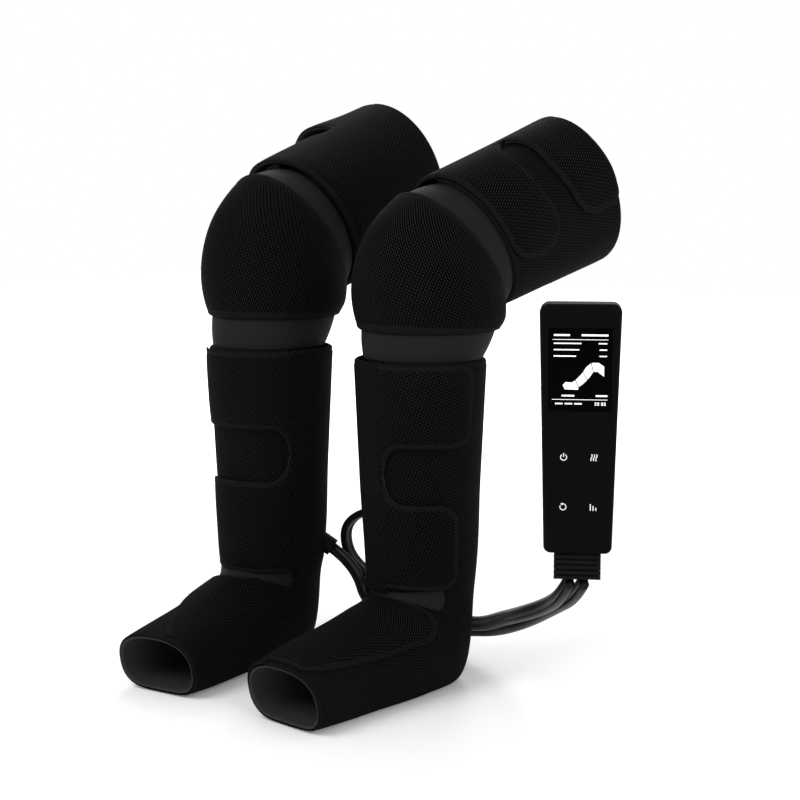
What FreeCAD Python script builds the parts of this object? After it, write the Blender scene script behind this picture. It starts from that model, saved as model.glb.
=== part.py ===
import FreeCAD, Part
import math
import os

from FreeCAD import Placement, Rotation, Vector

os.makedirs("parts", exist_ok=True)

# Air compression leg massager, in millimetres: two full leg wraps, two hoses and a handheld controller.
# Shared frame: Z up, the wearer faces -Y, the origin is the middle of the set's footprint on the floor.
# Each leg is built in its own frame: X to the outer side of the leg, Y to the back, Z up,
# with the calf's axis near X = Y = 0. The right leg is the mirror image with its own flap angles.

# Where the legs stand
LEFT_LEG_X = 0.0
RIGHT_LEG_X = -233.0
LEGS_Y = -46.0
TOE_IN_DEG = 5.5

# Layers of a wrap, from the outside in
COVER = 3.5
LAYER_GAP = 0.4
BLADDER = 4.0
LINING = 2.5
FLAP_GAP = 0.5

# A flap lies on the cover, which is raised by as much behind the flap's root
FLAP_MEAN = 4.5
FLAP_SHIFT = 2.5
FLAP_ZONE = 30.0

# Calf: a cone from the ankle to below the knee
ANKLE_Z = 118.0
CALF_TOP_Z = 380.0
ANKLE_RADIUS = 60.0
CALF_TOP_RADIUS = 72.5
CALF_CENTRE_Y = 2.0
CALF_LOWER_FLAP_Z = (120.0, 213.0)
CALF_UPPER_FLAP_Z = (281.0, 378.0)

# Angles round the calf, from the front towards the outer side, for each leg as it is fastened
FLAP_ROOT_DEG = {"left": 2.0, "right": -57.0}
UPPER_FLAP_END_DEG = {"left": 90.0, "right": 72.0}
LOWER_FLAP_END_DEG = {"left": 79.0, "right": 68.0}

# Foot, ankle and knee sections: front or top point (y, z), back or bottom point (y, z), half width
FOOT_SECTIONS = (
    ((-226.0, 70.0), (-212.0, -4.0), 55.0),
    ((-150.0, 88.0), (-116.0, -12.0), 54.0),
    ((-98.0, 103.0), (-22.0, -16.0), 55.0),
    ((-70.0, 110.0), (42.0, -2.0), 57.0),
    ((CALF_CENTRE_Y - ANKLE_RADIUS, ANKLE_Z), (CALF_CENTRE_Y + ANKLE_RADIUS, ANKLE_Z), ANKLE_RADIUS),
)
FOOT_FLAP_MEAN = 3.5
FOOT_FLAP_SHIFT = 2.0
FOOT_FLAP_ROOT_X = -22.0
FOOT_FLAP_EDGE_Z = 46.0
FOOT_FLAP_SLOPE_DEG = 14.4
FOOT_FLAP_REACH = (-196.0, -46.0)
GUSSET_Z = 105.0
GUSSET_BACK_Y = 28.0
GUSSET_INSET = 1.2
GUSSET_THICKNESS = 2.5

# Knee cup: sections that fan out from the back of the knee to its front, on each leg as it is bent
KNEE_SECTIONS = {
    "left": (
        ((-70.0, 412.0), (92.0, 412.0), 81.0),
        ((-80.0, 466.0), (102.0, 414.0), 84.0),
        ((-64.0, 526.0), (108.0, 417.0), 77.0),
        ((-21.0, 568.0), (113.0, 420.0), 64.0),
    ),
    "right": (
        ((-68.0, 416.0), (94.0, 416.0), 79.0),
        ((-80.0, 472.0), (105.0, 419.0), 84.0),
        ((-66.0, 540.0), (114.0, 422.0), 79.0),
        ((-21.0, 588.0), (121.0, 426.0), 68.0),
    ),
}
KNEE_WALL = 8.0
KNEE_PAD_RADIUS = 42.0
KNEE_PAD_THICKNESS = 3.0
KNEE_PAD_TILT_DEG = 24.0
KNEE_PAD_CENTRE = (22.0, 462.0)

# Stretch bands below and above the knee
BAND_WALL = 2.5
BAND_INSET = 5.0
LOWER_BAND_RADIUS = CALF_TOP_RADIUS - BAND_INSET

# Thigh: two sections on each leg, flaps over the top to the outer side
THIGH_SECTIONS = {
    "left": (
        ((24.0, 579.0), (124.0, 430.0), 65.0),
        ((240.0, 650.0), (316.0, 476.0), 71.0),
    ),
    "right": (
        ((26.0, 596.0), (130.0, 438.0), 69.0),
        ((246.0, 672.0), (320.0, 482.0), 77.0),
    ),
}
THIGH_FLAP_SHARES = ((0.03, 0.46), (0.53, 0.98))
THIGH_FLAP_DROP = (26.0, 14.0)

# Hose socket on the inner back of each calf
SOCKET_DEG = -119.0
SOCKET_Z = {"left": 170.0, "right": 142.0}
SOCKET_TILT_DEG = {"left": 0.0, "right": 36.0}
SOCKET_FLANGE_RADIUS = 11.0
SOCKET_SPIGOT_RADIUS = 6.5
SOCKET_REACH = 10.0
SOCKET_FIT = 0.3

# Controller: upright, its face turned to the viewer
CONTROLLER_X = 304.0
CONTROLLER_Y = -205.0
CONTROLLER_Z = 225.0
CONTROLLER_TURN_DEG = 31.0
CASE_HEIGHT = 240.0
CASE_TOP_WIDTH = 78.0
CASE_BOTTOM_WIDTH = 65.0
CASE_DEPTH = 36.0
CASE_TOP_CORNER = 9.0
CASE_BOTTOM_CORNER = 7.0
CASE_EDGE = 5.0
CASE_WALL = 2.4
FACE_WALL = 3.0
SPLIT_SHARE = 0.5

WINDOW_WIDTH = 60.0
WINDOW_HEIGHT = 79.0
WINDOW_THICKNESS = 1.5
WINDOW_TOP_DROP = 23.0
WINDOW_LEDGE = 3.0
WINDOW_FIT = 0.15
DISPLAY_THICKNESS = 3.0
DISPLAY_MARGIN = 1.0

BOARD_WIDTH = 54.0
BOARD_THICKNESS = 1.6
BOARD_FRONT = 10.0
BOARD_LIFT = 20.0

KEY_RADIUS = 6.5
KEY_FIT = 0.15
KEY_TRAVEL = 0.6
KEY_FLANGE = 1.5
KEY_FLANGE_THICKNESS = 1.0
KEY_STEM_RADIUS = 1.6
KEY_SPACING = 28.6
KEY_DROPS = (146.0, 194.0)
SWITCH_SIDE = 6.0
SWITCH_HEIGHT = 3.4
SWITCH_CLEARANCE = 0.1

PUMP_WIDTH = 38.0
PUMP_HEIGHT = 62.0
PUMP_BOTTOM = 122.0
PUMP_HEAD_HEIGHT = 14.0
PUMP_HEAD_INSET = 5.0
CUSHION_THICKNESS = 2.5
CUSHION_HEIGHT = 12.0
VALVE_BLOCK_WIDTH = 44.0
VALVE_BLOCK_HEIGHT = 26.0
VALVE_BLOCK_DEPTH = 15.0
VALVE_BLOCK_BOTTOM = 56.0
VALVE_COUNT = 4
VALVE_WIDTH = 9.0
VALVE_DEPTH = 12.0
VALVE_HEIGHT = 26.0
BOARD_TO_PUMP = 0.7

INLET_RADIUS = 4.5
INLET_BORE = 2.75
INLET_PIN = 1.0
INLET_LENGTH = 11.0
INLET_LIFT = 40.0
INLET_FIT = 0.1

POST_RADIUS = 3.6
POST_INSET_X = 21.0
POST_LIFT = 30.0
POST_DROP = 32.0
SCREW_RADIUS = 1.4
SCREW_HEAD_RADIUS = 2.8
SCREW_HEAD_HEIGHT = 2.0
SCREW_LENGTH = 20.0
SCREW_FIT = 0.05

BOOT_WIDTH = 45.0
BOOT_DEPTH = 24.0
BOOT_HEIGHT = 26.0
BOOT_CORE_INSET = 2.4
BOOT_RIBS = 5
BOOT_RIB_SHARE = 0.55

HOSE_RADIUS = 5.0
HOSE_SPACING = 14.0
HOSE_APPROACH = 36.0
# An arc may take this share of a run: an inner run carries two arcs, the first and the last run one
HOSE_BEND_SHARE = 0.45
HOSE_END_SHARE = 0.95
# Hose routes in the shared frame, chosen by hand from below the controller's boot to the back of each calf.
# The boot gives the first point of each route and the socket the last two.
HOSE_POINTS = {
    "left": (
        (272.0, -181.0, 174.0),
        (208.0, -107.0, 138.0),
        (134.0, -42.0, 103.0),
        (79.0, 5.0, 79.0),
        (23.0, 37.0, 54.0),
        (-39.0, 49.0, 50.0),
        (-90.0, 40.0, 70.0),
        (-137.0, 34.0, 90.0),
        (-172.0, 30.0, 116.0),
        (-172.0, 26.0, 156.0),
        (-134.0, 34.0, 178.0),
    ),
    "right": (
        (282.0, -169.0, 174.0),
        (212.0, -94.0, 136.0),
        (143.0, -29.0, 98.0),
        (84.0, 14.0, 69.0),
        (32.0, 47.0, 48.0),
        (-27.0, 62.0, 31.0),
        (-78.0, 64.0, 33.0),
        (-136.0, 26.0, 52.0),
    ),
}

BIG = 1200.0


# Small helpers

def box(low, high):
    """A block between two corners."""
    size = [b - a for a, b in zip(low, high)]
    return Part.makeBox(*size, Vector(*low))


def cylinder(radius, start, direction, length):
    return Part.makeCylinder(radius, length, Vector(*start), Vector(*direction))


def lerp(a, b, share):
    return a + (b - a) * share


def between(section_a, section_b, share):
    """The section a share of the way from one section to another."""
    front = tuple(lerp(p, q, share) for p, q in zip(section_a[0], section_b[0]))
    back = tuple(lerp(p, q, share) for p, q in zip(section_a[1], section_b[1]))
    return front, back, lerp(section_a[2], section_b[2], share)


def inset(section, amount):
    """The section drawn in by the same amount all round."""
    (front_y, front_z), (back_y, back_z), half_width = section
    tall = math.hypot(front_y - back_y, front_z - back_z)
    share = amount / tall
    return between(section, (section[1], section[0], half_width), share)[:2] + (half_width - amount,)


def oval(section, grow=0.0, shift=0.0):
    """Four arcs round a section, grown outwards and shifted towards its front."""
    (front_y, front_z), (back_y, back_z), half_width = section
    front = Vector(0, front_y, front_z)
    back = Vector(0, back_y, back_z)
    along = (front - back).normalize()
    centre = (front + back) * 0.5 + along * shift
    tall = along * ((front - back).Length / 2 + grow)
    wide = Vector(half_width + grow, 0, 0)
    diagonal = math.sqrt(0.5)
    corners = [(1, 1), (-1, 1), (-1, -1), (1, -1)]
    middles = [(0, 1), (-1, 0), (0, -1), (1, 0)]
    edges = []
    for index, (s, t) in enumerate(corners):
        u, v = corners[(index + 1) % len(corners)]
        m, n = middles[index]
        start = centre + tall * (s * diagonal) + wide * (t * diagonal)
        end = centre + tall * (u * diagonal) + wide * (v * diagonal)
        edges.append(Part.Arc(start, centre + tall * m + wide * n, end).toShape())
    return Part.Wire(edges)


def tube(sections, grow=0.0, shift=0.0):
    """A closed solid lofted through the sections."""
    return Part.makeLoft([oval(s, grow, shift) for s in sections], True, len(sections) == 2)


def wrap(raised, plain, hollow, flap_side):
    """A cover that is raised behind the flap's root and plain under the flap."""
    return raised.cut(hollow).cut(flap_side.cut(plain))


def mirrored(shape):
    return shape.mirror(Vector(0, 0, 0), Vector(1, 0, 0))


# Calf, a set of cones about one upright axis

def calf_radius(z):
    return lerp(ANKLE_RADIUS, CALF_TOP_RADIUS, (z - ANKLE_Z) / (CALF_TOP_Z - ANKLE_Z))


def calf_cone(grow, low=ANKLE_Z, high=CALF_TOP_Z, shift=0.0, angle_deg=0.0):
    """A cone that follows the calf, grown outwards and shifted towards an angle."""
    base = calf_point(angle_deg, shift, low)
    return Part.makeCone(calf_radius(low) + grow, calf_radius(high) + grow, high - low, base)


def calf_shell(outside, thickness):
    """A layer of the calf whose outer face lies inside the cover's face."""
    return calf_cone(-outside).cut(calf_cone(-outside - thickness))


def calf_side(angle_deg, start=0.0):
    """Everything past an angle round the calf, half a turn wide."""
    block = box((start, -BIG, -BIG), (BIG, BIG, BIG))
    block.Placement = Placement(Vector(0, CALF_CENTRE_Y, 0), Rotation(Vector(0, 0, 1), angle_deg))
    return block


def calf_outwards(angle_deg):
    """The direction away from the calf's axis."""
    angle = math.radians(angle_deg)
    return Vector(math.sin(angle), -math.cos(angle), 0)


def calf_point(angle_deg, distance, z):
    return Vector(0, CALF_CENTRE_Y, z) + calf_outwards(angle_deg) * distance


def calf_flap(root_deg, end_deg, heights):
    """A curved pad on the calf from its root to its free edge."""
    raised = calf_cone(FLAP_MEAN, heights[0], heights[1], FLAP_SHIFT, root_deg)
    pad = raised.common(calf_side(root_deg, FLAP_GAP)).cut(calf_side(end_deg))
    return pad.cut(calf_cone(FLAP_GAP))


def socket_line(side):
    """Where a hose socket starts in the cover, which way it points and how long it is."""
    tilt = math.radians(SOCKET_TILT_DEG[side])
    z = SOCKET_Z[side]
    outwards = calf_outwards(SOCKET_DEG) * math.cos(tilt) - Vector(0, 0, math.sin(tilt))
    start = calf_point(SOCKET_DEG, calf_radius(z) - COVER, z)
    depth = COVER + FLAP_MEAN + FLAP_SHIFT
    return start, outwards, depth / math.cos(tilt) + SOCKET_REACH


def socket_solids(side):
    """The hose socket and the hole it needs in the cover."""
    start, outwards, length = socket_line(side)
    spigot = cylinder(SOCKET_SPIGOT_RADIUS, start, outwards, length)
    flange = cylinder(SOCKET_FLANGE_RADIUS, start, outwards, length)
    inside = SOCKET_FLANGE_RADIUS
    hole = cylinder(SOCKET_SPIGOT_RADIUS + SOCKET_FIT, start - outwards * inside, outwards, length + inside)
    return spigot, flange, hole


def calf_parts(side):
    root = FLAP_ROOT_DEG[side]
    raised = calf_cone(FLAP_MEAN, ANKLE_Z, CALF_TOP_Z, FLAP_SHIFT, root)
    cover = wrap(raised, calf_cone(0.0), calf_cone(-COVER), calf_side(root))
    spigot, flange, hole = socket_solids(side)
    clear = calf_cone(FLAP_MEAN + SOCKET_FIT, ANKLE_Z, CALF_TOP_Z, FLAP_SHIFT, root)
    bladder_face = COVER + LAYER_GAP
    lining_face = bladder_face + BLADDER + LAYER_GAP
    bladder = calf_shell(bladder_face, BLADDER)
    middle = (ANKLE_Z + CALF_TOP_Z) / 2
    seam = box((-BIG, -BIG, middle - LAYER_GAP), (BIG, BIG, middle + LAYER_GAP))
    return {
        "calf_cover": cover.cut(hole),
        "calf_bladders": bladder.cut(seam),
        "calf_lining": calf_shell(lining_face, LINING),
        "calf_upper_flap": calf_flap(root, UPPER_FLAP_END_DEG[side], CALF_UPPER_FLAP_Z),
        "calf_lower_flap": calf_flap(root, LOWER_FLAP_END_DEG[side], CALF_LOWER_FLAP_Z),
        "hose_socket": flange.cut(clear).fuse(spigot.cut(calf_cone(-COVER))).removeSplitter(),
    }


# Foot: a boot with an open toe and a flat sole

def foot_solid(grow, floor, shift=0.0):
    """The foot's form, cut flat at a height above the ground."""
    ground = box((-BIG, -BIG, -BIG), (BIG, BIG, floor))
    return tube(FOOT_SECTIONS, grow, shift).cut(ground)


def foot_layer(outside, thickness):
    inside = outside + thickness
    return foot_solid(-outside, outside).cut(foot_solid(-inside, inside))


def foot_parts():
    flap_side = box((FOOT_FLAP_ROOT_X, -BIG, FOOT_FLAP_EDGE_Z), (BIG, GUSSET_BACK_Y, GUSSET_Z))
    plain = foot_solid(0.0, 0.0)
    raised = foot_solid(FOOT_FLAP_MEAN, 0.0, FOOT_FLAP_SHIFT)
    shell = wrap(raised, plain, foot_solid(-COVER, COVER), flap_side)
    notch = box((-BIG, -BIG, GUSSET_Z), (BIG, GUSSET_BACK_Y, BIG))
    strip = box((-BIG, -BIG, GUSSET_Z), (BIG, GUSSET_BACK_Y, ANKLE_Z))
    gusset = tube(FOOT_SECTIONS, -GUSSET_INSET).cut(tube(FOOT_SECTIONS, -GUSSET_INSET - GUSSET_THICKNESS))
    bladder_face = COVER + LAYER_GAP
    lining_face = bladder_face + BLADDER + LAYER_GAP
    zone = box((-BIG, FOOT_FLAP_REACH[0], -BIG), (BIG, FOOT_FLAP_REACH[1], BIG))
    zone.Placement = Placement(Vector(0, 0, 0), Rotation(Vector(1, 0, 0), FOOT_FLAP_SLOPE_DEG))
    pad_side = box((FOOT_FLAP_ROOT_X + FLAP_GAP, -BIG, FOOT_FLAP_EDGE_Z), (BIG, BIG, GUSSET_Z))
    pad = raised.common(pad_side).cut(foot_solid(FLAP_GAP, 0.0))
    return {
        "foot_cover": shell.cut(notch),
        "foot_flap": pad.common(zone),
        "foot_bladder": foot_layer(bladder_face, BLADDER).cut(notch),
        "foot_lining": foot_layer(lining_face, LINING).cut(notch),
        "ankle_gusset": gusset.common(strip),
    }


# Knee cup, its heating pad and the two stretch bands

def band(start, end):
    """A thin sleeve between two sections."""
    return tube((start, end)).cut(tube((start, end), -BAND_WALL))


def knee_parts(side):
    sections = KNEE_SECTIONS[side]
    cup = tube(sections).cut(tube(sections, -KNEE_WALL))
    pad_face = KNEE_WALL + LAYER_GAP
    pad_shell = tube(sections, -pad_face).cut(tube(sections, -pad_face - KNEE_PAD_THICKNESS))
    tilt = math.radians(KNEE_PAD_TILT_DEG)
    forwards = (0, -math.cos(tilt), math.sin(tilt))
    window = cylinder(KNEE_PAD_RADIUS, (0, *KNEE_PAD_CENTRE), forwards, BIG)
    calf_top = (
        (CALF_CENTRE_Y - LOWER_BAND_RADIUS, CALF_TOP_Z),
        (CALF_CENTRE_Y + LOWER_BAND_RADIUS, CALF_TOP_Z),
        LOWER_BAND_RADIUS,
    )
    return {
        "knee_cover": cup,
        "knee_heat_pad": pad_shell.common(window),
        "knee_lower_band": band(calf_top, inset(sections[0], BAND_INSET)),
        "knee_upper_band": band(inset(sections[-1], BAND_INSET), inset(THIGH_SECTIONS[side][0], BAND_INSET)),
    }


# Thigh cuff and its two flaps

def thigh_layer(sections, outside, thickness):
    return tube(sections, -outside).cut(tube(sections, -outside - thickness))


def thigh_axis(sections):
    """The middle of the cuff's front end and its direction."""
    ends = [Vector(0, (f[0] + b[0]) / 2, (f[1] + b[1]) / 2) for f, b, _ in sections]
    return ends[0], (ends[1] - ends[0]).normalize()


def below_thigh(sections, drop):
    """Everything lower than a drop under the cuff's axis."""
    start, along = thigh_axis(sections)
    block = box((-BIG, -BIG, -BIG), (BIG, BIG, -drop))
    slope = math.degrees(math.asin(along.z))
    block.Placement = Placement(start, Rotation(Vector(1, 0, 0), slope))
    return block


def thigh_parts(side):
    sections = THIGH_SECTIONS[side]
    raised = tube(sections, FLAP_MEAN, FLAP_SHIFT)
    outer_side = box((0.0, -BIG, -BIG), (BIG, BIG, BIG))
    cover = wrap(raised, tube(sections), tube(sections, -COVER), outer_side)
    pad = raised.common(box((FLAP_GAP, -BIG, -BIG), (BIG, BIG, BIG))).cut(tube(sections, FLAP_GAP))
    flaps = []
    for shares, drop in zip(THIGH_FLAP_SHARES, THIGH_FLAP_DROP):
        zone = tube([between(*sections, share) for share in shares], FLAP_ZONE)
        flaps.append(pad.common(zone).cut(below_thigh(sections, drop)))
    bladder_face = COVER + LAYER_GAP
    lining_face = bladder_face + BLADDER + LAYER_GAP
    return {
        "thigh_cover": cover,
        "thigh_bladder": thigh_layer(sections, bladder_face, BLADDER),
        "thigh_lining": thigh_layer(sections, lining_face, LINING),
        "thigh_lower_flap": flaps[0],
        "thigh_upper_flap": flaps[1],
    }


# Placing a leg in the shared frame

def leg_placement(side):
    sign = 1 if side == "left" else -1
    x = LEFT_LEG_X if side == "left" else RIGHT_LEG_X
    return Placement(Vector(x, LEGS_Y, 0), Rotation(Vector(0, 0, 1), -sign * TOE_IN_DEG))


def placed(shape, side):
    """A leg's shape in the shared frame."""
    copy = shape.copy() if side == "left" else mirrored(shape)
    copy.Placement = leg_placement(side).multiply(copy.Placement)
    return copy


def placed_point(point, side):
    x = point.x if side == "left" else -point.x
    return leg_placement(side).multVec(Vector(x, point.y, point.z))


def leg_parts(side):
    pieces = {**foot_parts(), **calf_parts(side), **knee_parts(side), **thigh_parts(side)}
    return {f"{side}_{name}": placed(shape, side) for name, shape in pieces.items()}


# Controller, in its own frame: X to the right on its face, Y into the case, Z up from the case's bottom

def case_outline(margin):
    """The tapered front outline of the case with rounded corners, as a face at depth zero."""
    slope = (CASE_TOP_WIDTH - CASE_BOTTOM_WIDTH) / 2 / CASE_HEIGHT
    low, high = margin, CASE_HEIGHT - margin
    bottom = CASE_BOTTOM_WIDTH / 2 + slope * low - margin
    top = CASE_BOTTOM_WIDTH / 2 + slope * high - margin
    points = [Vector(-bottom, 0, low), Vector(bottom, 0, low), Vector(top, 0, high), Vector(-top, 0, high)]
    radii = [CASE_BOTTOM_CORNER, CASE_BOTTOM_CORNER, CASE_TOP_CORNER, CASE_TOP_CORNER]
    return Part.Face(rounded_wire(points, [r - margin for r in radii]))


def rounded_wire(points, radii):
    """A closed polygon with its corners rounded."""
    ends = []
    for index, (corner, radius) in enumerate(zip(points, radii)):
        before = (points[index - 1] - corner).normalize()
        after = (points[(index + 1) % len(points)] - corner).normalize()
        half = before.getAngle(after) / 2
        reach = radius / math.tan(half)
        middle = corner + (before + after).normalize() * (radius / math.sin(half) - radius)
        ends.append((corner + before * reach, middle, corner + after * reach))
    edges = []
    for index, (start, middle, end) in enumerate(ends):
        edges.append(Part.Arc(start, middle, end).toShape())
        edges.append(Part.LineSegment(end, ends[(index + 1) % len(ends)][0]).toShape())
    return Part.Wire(edges)


def case_solid():
    """The outside of the case with its front and back edges rounded."""
    solid = case_outline(0.0).extrude(Vector(0, CASE_DEPTH, 0))
    rims = [e for e in solid.Edges if e.BoundBox.YLength < CASE_WALL]
    return solid.makeFillet(CASE_EDGE, rims)


def key_places():
    """The middle of each key on the face."""
    places = []
    for drop in KEY_DROPS:
        for x in (-KEY_SPACING / 2, KEY_SPACING / 2):
            places.append((x, CASE_HEIGHT - drop))
    return places


def post_places():
    heights = (POST_LIFT, CASE_HEIGHT - POST_DROP)
    return [(x, z) for z in heights for x in (-POST_INSET_X, POST_INSET_X)]


def window_block(margin, front, back):
    """A block behind the window's outline, drawn in by a margin."""
    top = CASE_HEIGHT - WINDOW_TOP_DROP - margin
    bottom = CASE_HEIGHT - WINDOW_TOP_DROP - WINDOW_HEIGHT + margin
    half = WINDOW_WIDTH / 2 - margin
    return box((-half, front, bottom), (half, back, top))


def case_parts():
    split = CASE_DEPTH * SPLIT_SHARE
    hollow_depth = CASE_DEPTH - FACE_WALL - CASE_WALL
    hollow = case_outline(CASE_WALL).extrude(Vector(0, hollow_depth, 0))
    hollow.translate(Vector(0, FACE_WALL, 0))
    shell = case_solid().cut(hollow)
    front = shell.common(box((-BIG, -BIG, -BIG), (BIG, split, BIG)))
    front = front.cut(window_block(0.0, -BIG, WINDOW_THICKNESS))
    front = front.cut(window_block(WINDOW_LEDGE, -BIG, FACE_WALL))
    for x, z in key_places():
        front = front.cut(cylinder(KEY_RADIUS + KEY_FIT, (x, -FACE_WALL, z), (0, 1, 0), 3 * FACE_WALL))
    rear = shell.common(box((-BIG, split, -BIG), (BIG, BIG, BIG)))
    board_back = BOARD_FRONT + BOARD_THICKNESS
    inside_back = CASE_DEPTH - CASE_WALL
    for x, z in post_places():
        rear = rear.fuse(cylinder(POST_RADIUS, (x, board_back, z), (0, 1, 0), inside_back - board_back))
    for x, z in post_places():
        rear = rear.cut(cylinder(SCREW_RADIUS + SCREW_FIT, (x, board_back, z), (0, 1, 0), CASE_DEPTH))
        sink = CASE_DEPTH - SCREW_HEAD_HEIGHT
        rear = rear.cut(cylinder(SCREW_HEAD_RADIUS + SCREW_FIT, (x, sink, z), (0, 1, 0), CASE_DEPTH))
    inlet_start = (CASE_BOTTOM_WIDTH / 2 - INLET_LENGTH, inlet_depth(), INLET_LIFT)
    rear = rear.cut(cylinder(INLET_RADIUS + INLET_FIT, inlet_start, (1, 0, 0), BIG))
    return {"front_shell": front, "rear_shell": rear.removeSplitter()}


def inlet_depth():
    return CASE_DEPTH * (1 + SPLIT_SHARE) / 2


def screen_parts():
    ledge_back = FACE_WALL
    return {
        "screen_window": window_block(WINDOW_FIT, 0.0, WINDOW_THICKNESS),
        "display_panel": window_block(DISPLAY_MARGIN, ledge_back, ledge_back + DISPLAY_THICKNESS),
    }


def key_solid(place):
    """A key: cap through the face, flange behind it and a stem down to its switch."""
    x, z = place
    inwards = (0, 1, 0)
    cap = cylinder(KEY_RADIUS, (x, 0, z), inwards, FACE_WALL)
    flange = cylinder(KEY_RADIUS + KEY_FLANGE, (x, FACE_WALL, z), inwards, KEY_FLANGE_THICKNESS)
    stem_end = BOARD_FRONT - SWITCH_HEIGHT - KEY_TRAVEL - SWITCH_CLEARANCE
    stem = cylinder(KEY_STEM_RADIUS, (x, 0, z), inwards, stem_end)
    return cap.fuse(flange).fuse(stem).removeSplitter()


def board_parts():
    low = (-BOARD_WIDTH / 2, BOARD_FRONT, BOARD_LIFT)
    high = (BOARD_WIDTH / 2, BOARD_FRONT + BOARD_THICKNESS, CASE_HEIGHT - WINDOW_TOP_DROP - DISPLAY_MARGIN)
    board = box(low, high)
    for x, z in post_places():
        board = board.cut(cylinder(SCREW_RADIUS + SCREW_FIT, (x, 0, z), (0, 1, 0), CASE_DEPTH))
    half = SWITCH_SIDE / 2
    switches = []
    for x, z in key_places():
        corner = (x - half, BOARD_FRONT - SWITCH_HEIGHT, z - half)
        switches.append(box(corner, (x + half, BOARD_FRONT, z + half)))
    screws = []
    for x, z in post_places():
        start = CASE_DEPTH - SCREW_HEAD_HEIGHT
        head = cylinder(SCREW_HEAD_RADIUS, (x, start, z), (0, 1, 0), SCREW_HEAD_HEIGHT)
        shank = cylinder(SCREW_RADIUS, (x, start - SCREW_LENGTH, z), (0, 1, 0), SCREW_LENGTH)
        screws.append(head.fuse(shank).removeSplitter())
    return {
        "circuit_board": board,
        "key_switches": Part.makeCompound(switches),
        "case_screws": Part.makeCompound(screws),
    }


def pump_parts():
    back = CASE_DEPTH - CASE_WALL
    pump_back = back - CUSHION_THICKNESS
    pump_front = BOARD_FRONT + BOARD_THICKNESS + BOARD_TO_PUMP
    half = PUMP_WIDTH / 2
    body_top = PUMP_BOTTOM + PUMP_HEIGHT - PUMP_HEAD_HEIGHT
    body = box((-half, pump_front, PUMP_BOTTOM), (half, pump_back, body_top))
    inner = half - PUMP_HEAD_INSET
    head_front = pump_front + PUMP_HEAD_INSET
    head = box((-inner, head_front, body_top), (inner, pump_back, body_top + PUMP_HEAD_HEIGHT))
    cushions = []
    for z in (PUMP_BOTTOM, body_top - CUSHION_HEIGHT):
        cushions.append(box((-half, pump_back, z), (half, back, z + CUSHION_HEIGHT)))
    block_half = VALVE_BLOCK_WIDTH / 2
    block_top = VALVE_BLOCK_BOTTOM + VALVE_BLOCK_HEIGHT
    block = box((-block_half, back - VALVE_BLOCK_DEPTH, VALVE_BLOCK_BOTTOM), (block_half, back, block_top))
    pitch = VALVE_BLOCK_WIDTH / VALVE_COUNT
    valves = []
    for index in range(VALVE_COUNT):
        x = -block_half + pitch * (index + 0.5)
        low = (x - VALVE_WIDTH / 2, back - VALVE_DEPTH, block_top)
        high = (x + VALVE_WIDTH / 2, back, block_top + VALVE_HEIGHT)
        valves.append(box(low, high))
    return {
        "air_pump": body.fuse(head).removeSplitter(),
        "pump_cushions": Part.makeCompound(cushions),
        "valve_block": block,
        "solenoid_valves": Part.makeCompound(valves),
    }


def inlet_solid():
    """A round power socket let into the side of the case."""
    slope = (CASE_TOP_WIDTH - CASE_BOTTOM_WIDTH) / 2 / CASE_HEIGHT
    mouth = CASE_BOTTOM_WIDTH / 2 + slope * (INLET_LIFT - INLET_RADIUS)
    start = mouth - INLET_LENGTH
    middle = (start, inlet_depth(), INLET_LIFT)
    barrel = cylinder(INLET_RADIUS, middle, (1, 0, 0), INLET_LENGTH)
    bore = cylinder(INLET_BORE, (start + CASE_WALL, *middle[1:]), (1, 0, 0), INLET_LENGTH)
    pin = cylinder(INLET_PIN, middle, (1, 0, 0), INLET_LENGTH - CASE_WALL)
    return barrel.cut(bore).fuse(pin).removeSplitter()


def boot_solid():
    """The ribbed rubber boot below the case."""
    middle = CASE_DEPTH / 2

    def slab(margin, low, high):
        half_x = BOOT_WIDTH / 2 - margin
        half_y = BOOT_DEPTH / 2 - margin
        return box((-half_x, middle - half_y, low), (half_x, middle + half_y, high))

    boot = slab(BOOT_CORE_INSET, -BOOT_HEIGHT, 0.0)
    pitch = BOOT_HEIGHT / BOOT_RIBS
    for index in range(BOOT_RIBS):
        low = -BOOT_HEIGHT + pitch * index
        boot = boot.fuse(slab(0.0, low, low + pitch * BOOT_RIB_SHARE))
    return boot.removeSplitter()


def controller_placement():
    base = Vector(CONTROLLER_X, CONTROLLER_Y, CONTROLLER_Z)
    return Placement(base, Rotation(Vector(0, 0, 1), CONTROLLER_TURN_DEG))


def controller_parts():
    pieces = {**case_parts(), **screen_parts(), **board_parts(), **pump_parts()}
    names = ("power_button", "heat_button", "mode_button", "intensity_button")
    for name, place in zip(names, key_places()):
        pieces[name] = key_solid(place)
    pieces["power_inlet"] = inlet_solid()
    pieces["hose_boot"] = boot_solid()
    for shape in pieces.values():
        shape.Placement = controller_placement().multiply(shape.Placement)
    return pieces


# Hoses

def hose_route(side):
    """All points of a hose: below the boot, hand-chosen points, approach and socket."""
    sign = -1 if side == "left" else 1
    mouth = controller_placement().multVec(Vector(sign * HOSE_SPACING / 2, CASE_DEPTH / 2, -BOOT_HEIGHT))
    middle = [Vector(*p) for p in HOSE_POINTS[side]]
    run = (middle[0] - mouth).normalize()
    lean = math.hypot(run.x, run.y)
    first = mouth - Vector(0, 0, HOSE_RADIUS * lean)
    start, outwards, length = socket_line(side)
    approach = placed_point(start + outwards * (length + HOSE_APPROACH), side)
    return [first, *middle, approach, placed_point(start + outwards * length, side)]


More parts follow.
